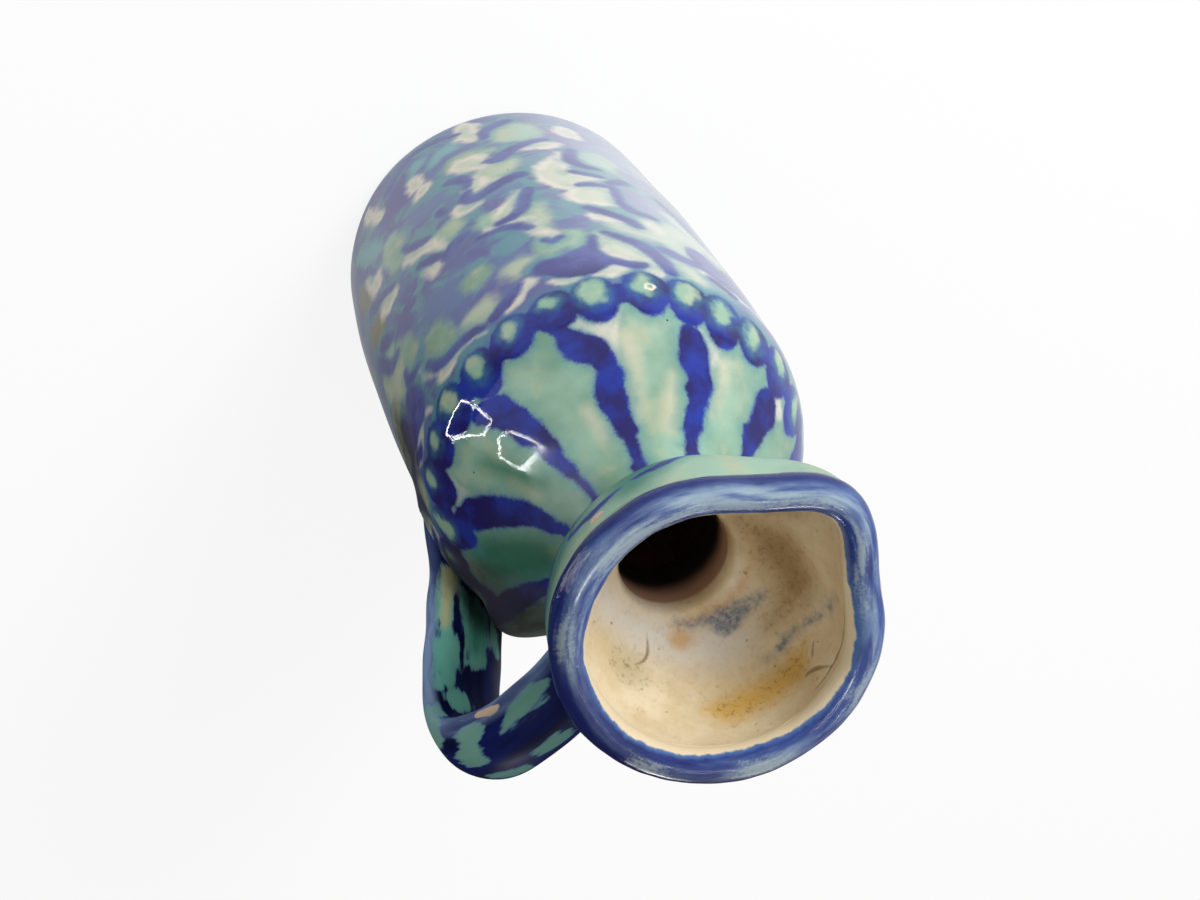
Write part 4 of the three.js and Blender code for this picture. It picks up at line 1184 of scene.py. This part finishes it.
def strapPiece():
    # a pulled strap; also each vertex's place along it, round its section and off its near edge
    s = strapSettings
    line = np.vstack([bezier(*s["arm"], 300), bezier(*s["grip"], 300)[1:]])
    lengths = runAlong(line)
    total = lengths[-1]
    at = np.linspace(0, total, s["sections"])
    x, z = np.interp(at, lengths, line[:, 0]), np.interp(at, lengths, line[:, 1])
    ax, az = np.gradient(x), np.gradient(z)
    size = np.hypot(ax, az)
    ax, az = ax / size, az / size
    footward = smoothStep(total - s["footRoot"], total, at)
    topward = 1 - smoothStep(0, s["topFlareLength"], at)
    flare = 1 + (s["footFlare"] - 1) * footward + (s["topFlare"] - 1) * topward
    wide = smoothStep(0, s["wideFrom"], at / total)
    half = (s["topWidth"] + (s["footWidth"] - s["topWidth"]) * wide) / 2 * flare
    turn = np.arange(s["sides"]) * 2 * math.pi / s["sides"]
    y = half[:, None] * np.cos(turn)[None]
    hollow = np.where(np.sin(turn) > 0, s["outerHollow"], s["innerHollow"]) * np.sin(turn) ** 4
    deep = s["thickness"] / 2 * (1 + (s["footSwell"] - 1) * footward)
    thick = deep[:, None] * (np.sin(turn) * (1 - hollow))[None]
    curl = footward[:, None] * y * y / (2 * bodySettings["edgeRadius"])
    curl = curl + s["footDip"] * smoothStep(total - s["footFade"], total, at)[:, None]
    co = np.stack([x[:, None] - az[:, None] * thick - curl, y, z[:, None] + ax[:, None] * thick], -1)
    step = np.linalg.norm(np.diff(co, axis=1), axis=2)
    across = np.concatenate([np.zeros((len(at), 1)), np.cumsum(step, 1)], 1)
    around = across[:, -1:] + np.linalg.norm(co[:, :1] - co[:, -1:], axis=2)
    core = np.stack([x, 0 * x, z], 1)[:, None]
    uneven = softNoise(co.reshape(-1, 3), s["wobbleSize"], seed=21).reshape(co.shape[:2])
    co = core + (co - core) * (1 + s["wobble"] * uneven)[..., None]
    # ends stop inside the wall that they are luted to
    grow = np.maximum(1, (jugRadius(co[..., 2]) - s["sink"]) / np.maximum(fromAxis(co), 1))
    co = co * np.stack([grow, grow, np.ones_like(grow)], -1)
    sides, rows = s["sides"], s["sections"]
    faces = []
    for i in range(rows - 1):
        for j in range(sides):
            k = (j + 1) % sides
            faces.append((i * sides + j, i * sides + k, (i + 1) * sides + k, (i + 1) * sides + j))
    faces.append(tuple(range(sides))[::-1])
    faces.append(tuple((rows - 1) * sides + j for j in range(sides)))
    piece = newPiece("strapHandle", [tuple(v) for v in co.reshape(-1, 3) * mm], faces=faces)
    mesh = piece.data
    faceOutward(mesh)
    mesh.shade_smooth()
    mesh.set_sharp_from_angle(angle=s["sharp"] * rad)
    mesh.materials.append(handleGlaze)
    near = np.abs(across - around / 2) / s["footWidth"]
    return piece, np.repeat(at, sides), across.reshape(-1), near.reshape(-1)


# green dabs that the navy leaves bare on the strap: (along, across) in mm, from the far edge round the outside
strapDabs = [
    [(40.8, 30.5), (36, 27.3), (40, 22.2), (42, 17.8), (48, 20.2), (44.8, 26.1)],
    [(18.3, 27.5), (14.8, 24.9), (20.1, 23.6), (25.9, 22.8), (32.6, 22.8), (29.9, 24.6), (27.2, 26.3)],
    [(55, 37.5), (50, 34.5), (50.3, 26.1), (54.8, 23.2), (59.8, 26.1), (60, 36)],
    [(30.2, 9.5), (23.7, 12.2), (19.5, 8.1), (24.3, 6)],
    [(36.8, 7.3), (45.6, 11.6), (45.8, 7.7), (37.8, 3.9)],
    [(61.8, 19.3), (69.7, 23.2), (83.7, 21.3), (89.6, 15.5), (79.7, 11.6), (67.7, 13.5)],
    [(97.6, 29), (107.6, 31.9), (117.5, 28), (113.5, 21.3), (101.6, 21.3)],
    [(111.6, 11.6), (121.5, 15.5), (131.5, 11.6), (127.5, 4.8), (115.5, 4.8)],
    [(125.5, 34.8), (133.5, 38.7), (140.4, 33.8), (135.5, 28), (127.5, 29)],
    [(117.5, 40.6), (117.5, 45), (107.6, 45), (96.6, 44.5), (92.6, 45.9), (87.6, 48.4), (79.7, 48.4),
     (73.7, 46.9), (68.1, 43),
     (67.5, 39.6), (79.7, 39.5), (92.9, 39.6), (107.6, 39.6)],
    [(113.6, 46.9), (114.2, 51.2), (112, 60), (104.6, 60.4), (94.6, 59.5), (90, 60), (85.7, 56.1),
     (83.7, 51.3), (89.6, 51.7),
     (96.6, 50.3), (103.6, 48.4)],
    [(65.7, 42.1), (71.7, 48.8), (67.7, 52.2), (61.8, 48.4), (60.8, 43.5)],
    [(111.6, 61.9), (107.6, 65.3), (99.6, 67.2), (97.6, 64.8), (103.6, 62.9)],
]
# painted light: the inner dabs are a brighter green, standing in for light on that face
strapInner = 4  # the last dabs lie on the inner side and are painted a brighter green
strapCream = [(119.2, 41.2), (119.6, 46.3), (111.4, 45.4), (104.6, 44.1), (96.5, 43.3), (96.6, 42),
              (105.6, 41.6), (111.6, 41)]
strapGreen = [(89.6, 50.3), (111.6, 48.4), (117.5, 54.2), (111.6, 61.9), (91.6, 60)]
# painted shade on the strap's inner face
strapPaintedShade = [(103.6, 52.2), (115.5, 47.4), (127.5, 48.4), (137.4, 56.1), (135.5, 71.6), (111.6, 71.6)]
strapChip = [(29.4, 29.3), (30.9, 30.6), (32.9, 31.3), (35.9, 31.5), (34.4, 30.2), (31.9, 29.2)]


def paintStrap(piece, along, across, near):
    s = strapSettings
    face = Surface(along, across, np.ones(len(along)))
    fields = {name: face.blank() for name in paintFields}
    bare = face.blank()
    for outline in strapDabs + [strapCream]:
        face.shape(bare, outline, grow=0.6)
    fields["sage"][:] = fieldReach
    fields["cobalt"] = -bare
    for name, outlines, grow in (
        ("blush", strapDabs[-strapInner:], 1.0), ("lemon", [strapCream], 1.0), ("forest", [strapGreen], -2.0),
        ("paintedShade", [strapPaintedShade], 1.0), ("chip", [strapChip], 0.5),
    ):
        for outline in outlines:
            face.shape(fields[name], outline, grow)
    # the near edge: glaze rubbed thin, and partly a painted highlight
    fields["edge"] = 1 - smoothStep(s["edgeFrom"], s["edgeTo"], near)  # thin pale blue over the near edge
    fields["dull"] = np.ones(len(along))
    storeFields(piece, fields)
    storeGrain(piece, np.stack([along * s["brushDrag"], across, 0 * along], 1))  # paint pulled along the strap


strapHandle, *strapPlaces = strapPiece()
paintStrap(strapHandle, *strapPlaces)

filletSettings = dict(
    reach=11.0, lift=2.4, webFrom=182.0, webTo=198.0, webTop=222.0, webLift=3.4, proud=0.4, skin=3.0,
    fromX=24.0, halfY=40.0, thumbAngle=6.0, thumbHeight=199.0, thumbLift=10.5, thumbSpan=14.0, thumbRise=10.0,
)


def smearRoots(piece):
    # clay smeared up against the strap where it meets the wall, and thumbed into the crotch
    s = filletSettings
    strap = corners(strapHandle)
    strap = strap[fromAxis(strap) > jugRadius(strap[:, 2]) + s["proud"]]
    tree = KDTree(len(strap))
    for i, p in enumerate(strap):
        tree.insert(p, i)
    tree.balance()
    co = corners(piece)
    height = co[:, 2]
    outer = fromAxis(co) > jugRadius(height) - s["skin"]
    lift = np.zeros(len(co))
    for i in np.flatnonzero((co[:, 0] > s["fromX"]) & (np.abs(co[:, 1]) < s["halfY"]) & outer):
        away = tree.find(co[i])[2]
        if away < s["reach"]:
            web = smoothStep(s["webFrom"], s["webTo"], height[i]) * (height[i] < s["webTop"])
            lift[i] = (s["lift"] + s["webLift"] * web) * (1 - away / s["reach"]) ** 2
    away = np.hypot((azimuth(co) - s["thumbAngle"]) / s["thumbSpan"],
                    (height - s["thumbHeight"]) / s["thumbRise"])
    thumbed = s["thumbLift"] * np.exp(-away ** 2) * outer
    radius = np.maximum(fromAxis(co), 1)
    co[:, :2] *= ((1 + lift / radius) * (1 + thumbed / radius))[:, None]
    setCorners(piece, co)


for piece in (jugBody, jugShoulder, jugMouth):
    smearRoots(piece)
print("strap made and smeared on", len(strapHandle.data.polygons))

stageSettings = dict(
    floorSize=6.0, floorDrop=-0.0002, floorPaint=paint(240, 240, 240), whiteness=0.86, mirrorWhiteness=0.25,
    shadeFrom=0.0, shadeTo=0.16, shade=paint(78, 66, 58), ambient=0.5,
    keyPower=21.0, keySize=0.7, keyPlace=(-1.2, -0.25, 1.0), keyTarget=(0, 0, 0.2),
)
cardSettings = dict(away=0.5, half=0.5, low=0.003, high=0.75, colour=paint(56, 46, 40), rough=0.9)


def seenRays(bench):
    # camera, glossy and transmission rays see the pale ground as white
    light = bench.put("LightPath")
    seen = bench.sums("MAXIMUM", light.outputs["Is Camera Ray"], light.outputs["Is Glossy Ray"])
    return bench.sums("MAXIMUM", seen, light.outputs["Is Transmission Ray"])


def floorFinish():
    # white to the camera, shaded beside the handle for the gloss
    s = stageSettings
    material = bpy.data.materials.new("paleGround")
    material.use_nodes = True
    material.node_tree.nodes.clear()
    b = Bench(material.node_tree)
    light = b.put("LightPath")
    across = b.put("SeparateXYZ", {"Vector": b.place()}).outputs["X"]
    dark = b.times(b.ramp(across, s["shadeFrom"], s["shadeTo"]), light.outputs["Is Glossy Ray"])
    matte = b.put("BsdfDiffuse", {"Color": b.mix(dark, s["floorPaint"], s["shade"])})
    bright = b.put("Emission", {"Color": (1, 1, 1, 1), "Strength": 1.0})
    mirror = b.times(seenRays(b), b.ramp(dark, 0.0, 1.0, s["mirrorWhiteness"], 0.0))
    straight = b.times(light.outputs["Is Camera Ray"], s["whiteness"])
    amount = b.sums("MAXIMUM", mirror, straight)
    both = b.put("MixShader", {0: amount, 1: matte.outputs[0], 2: bright.outputs[0]})
    b.put("OutputMaterial", {"Surface": both.outputs[0]})
    return material


def cardFinish():
    material = bpy.data.materials.new("cardPaint")
    material.use_nodes = True
    inputs = material.node_tree.nodes["Principled BSDF"].inputs
    inputs["Base Color"].default_value = cardSettings["colour"]
    inputs["Roughness"].default_value = cardSettings["rough"]
    return material


def layFloor():
    half, low = stageSettings["floorSize"] / 2, stageSettings["floorDrop"]
    spots = [(-half, -half, low), (half, -half, low), (half, half, low), (-half, half, low)]
    piece = newPiece("paleFloor", spots, faces=[(0, 1, 2, 3)])
    piece.data.materials.append(floorFinish())
    return piece


def standCard():
    # beside the handle, keeps the white room out of the gloss on that side
    s = cardSettings
    spots = [(s["away"], side * s["half"], z) for side, z in (
        (-1, s["low"]), (1, s["low"]), (1, s["high"]), (-1, s["high"]))]
    piece = newPiece("darkCard", spots, faces=[(0, 1, 2, 3)])
    piece.data.materials.append(cardFinish())
    piece.visible_camera = False
    piece.visible_shadow = False
    piece.visible_diffuse = False
    return piece


paleFloor, darkCard = layFloor(), standCard()

scene.world = bpy.data.worlds.new("studio")
scene.world.use_nodes = True
scene.world.node_tree.nodes.clear()
room = Bench(scene.world.node_tree)
roomLight = room.ramp(seenRays(room), 0.0, 1.0, stageSettings["ambient"], 1.0)
sky = room.put("Background", {"Color": (1, 1, 1, 1), "Strength": roomLight})
room.put("OutputWorld", {"Surface": sky.outputs[0]})


def areaLamp(name, place, target, size, power, side=None, width=None):
    lamp = bpy.data.lights.new(name, "AREA")
    lamp.shape = "RECTANGLE"
    lamp.size = size
    lamp.size_y = width or size
    lamp.energy = power
    piece = bpy.data.objects.new(name, lamp)
    back = (Vector(place) - Vector(target)).normalized()
    across = Vector(side) if side is not None else back.orthogonal()
    across = (across - back * across.dot(back)).normalized()
    piece.location = place
    piece.rotation_euler = Matrix((across, back.cross(across), back)).transposed().to_euler()
    piece.visible_camera = False
    scene.collection.objects.link(piece)
    return piece


key = areaLamp("keyLight", stageSettings["keyPlace"], stageSettings["keyTarget"],
               stageSettings["keySize"], stageSettings["keyPower"])
key.visible_glossy = False

# thin strips of window light, placed where the glaze mirrors them: (azimuth, height) round each pane
shoulderGlints = [
    [(-79.5, 210), (-66, 211), (-66.5, 204), (-72, 201), (-77, 202), (-79.5, 210)],
    [(-75.5, 197), (-70, 197), (-61, 189), (-61, 185.5), (-73, 185.5), (-75, 190), (-75.5, 197)],
]
# streaks on the rim: (from azimuth, to azimuth, turn round the bead)
rimGlints = [(-78, -64, 72), (158, 176, 96), (8, 24, 62), (-148, -134, 110), (-118, -108, 84), (130, 140, 84)]


def mirrored(spot, normal):
    look = (spot - Vector(cameraSettings["place"])).normalized()
    return (look - 2 * look.dot(normal) * normal).normalized()


def stripLamp(name, start, end, width, glow):
    # start and end: (spot, normal) on the glaze
    ends = [spot * mm + mirrored(spot, normal) * glintSettings["away"] for spot, normal in (start, end)]
    long = (ends[1] - ends[0]).length
    middle, target = (ends[0] + ends[1]) / 2, (start[0] + end[0]) / 2 * mm
    lamp = areaLamp(name, middle, target, long, glow * math.pi * long * width, ends[1] - ends[0], width)
    lamp.visible_diffuse = False  # only seen in the gloss


def shoulderSpot(az, z):
    radius, low = jugRadius(z), jugRadius(z - 0.5)
    normal = Vector((0.5, low - radius)).normalized()
    out = Vector((math.cos(az * rad), math.sin(az * rad), 0))
    return out * radius + Vector((0, 0, z)), out * normal[0] + Vector((0, 0, normal[1]))


def rimSpot(az, turn):
    s = rimSettings
    out = np.array([math.cos(az * rad), math.sin(az * rad), 0])
    middle = out * s["centre"] + [0, 0, s["height"]]
    skin = middle + s["radius"] * (out * math.cos(turn * rad) + [0, 0, math.sin(turn * rad)])
    middle, skin = shapeMouth(np.stack([middle, skin]))
    return Vector(skin), Vector(skin - middle).normalized()


for i, outline in enumerate(shoulderGlints):
    for j, (start, end) in enumerate(zip(outline, outline[1:])):
        stripLamp(f"windowGlint{i}{j}", shoulderSpot(*start), shoulderSpot(*end),
                  glintSettings["shoulderWidth"], glintSettings["shoulderGlow"])
for i, (start, end, turn) in enumerate(rimGlints):
    stripLamp(f"rimGlint{i}", rimSpot(start, turn), rimSpot(end, turn),
              glintSettings["rimWidth"], glintSettings["rimGlow"])
print("floor and lights set")

# what each piece stands for
for piece, slot, nodes in (
    (jugBody, "body_glaze", ("floor_slab", "body_wall", "floor_luting_coil")),
    (jugShoulder, "body_glaze", ("shoulder_dome", "shoulder_luting_coil")),
    (jugMouth, "cup_glaze", ("mouth_cup", "neck_luting_coil")),
    (jugRim, "rim_glaze", ("rim_roll",)),
    (strapHandle, "handle_glaze", ("handle_strap", "handle_upper_root", "handle_lower_root")),
):
    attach(piece, "root")
    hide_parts(*nodes)
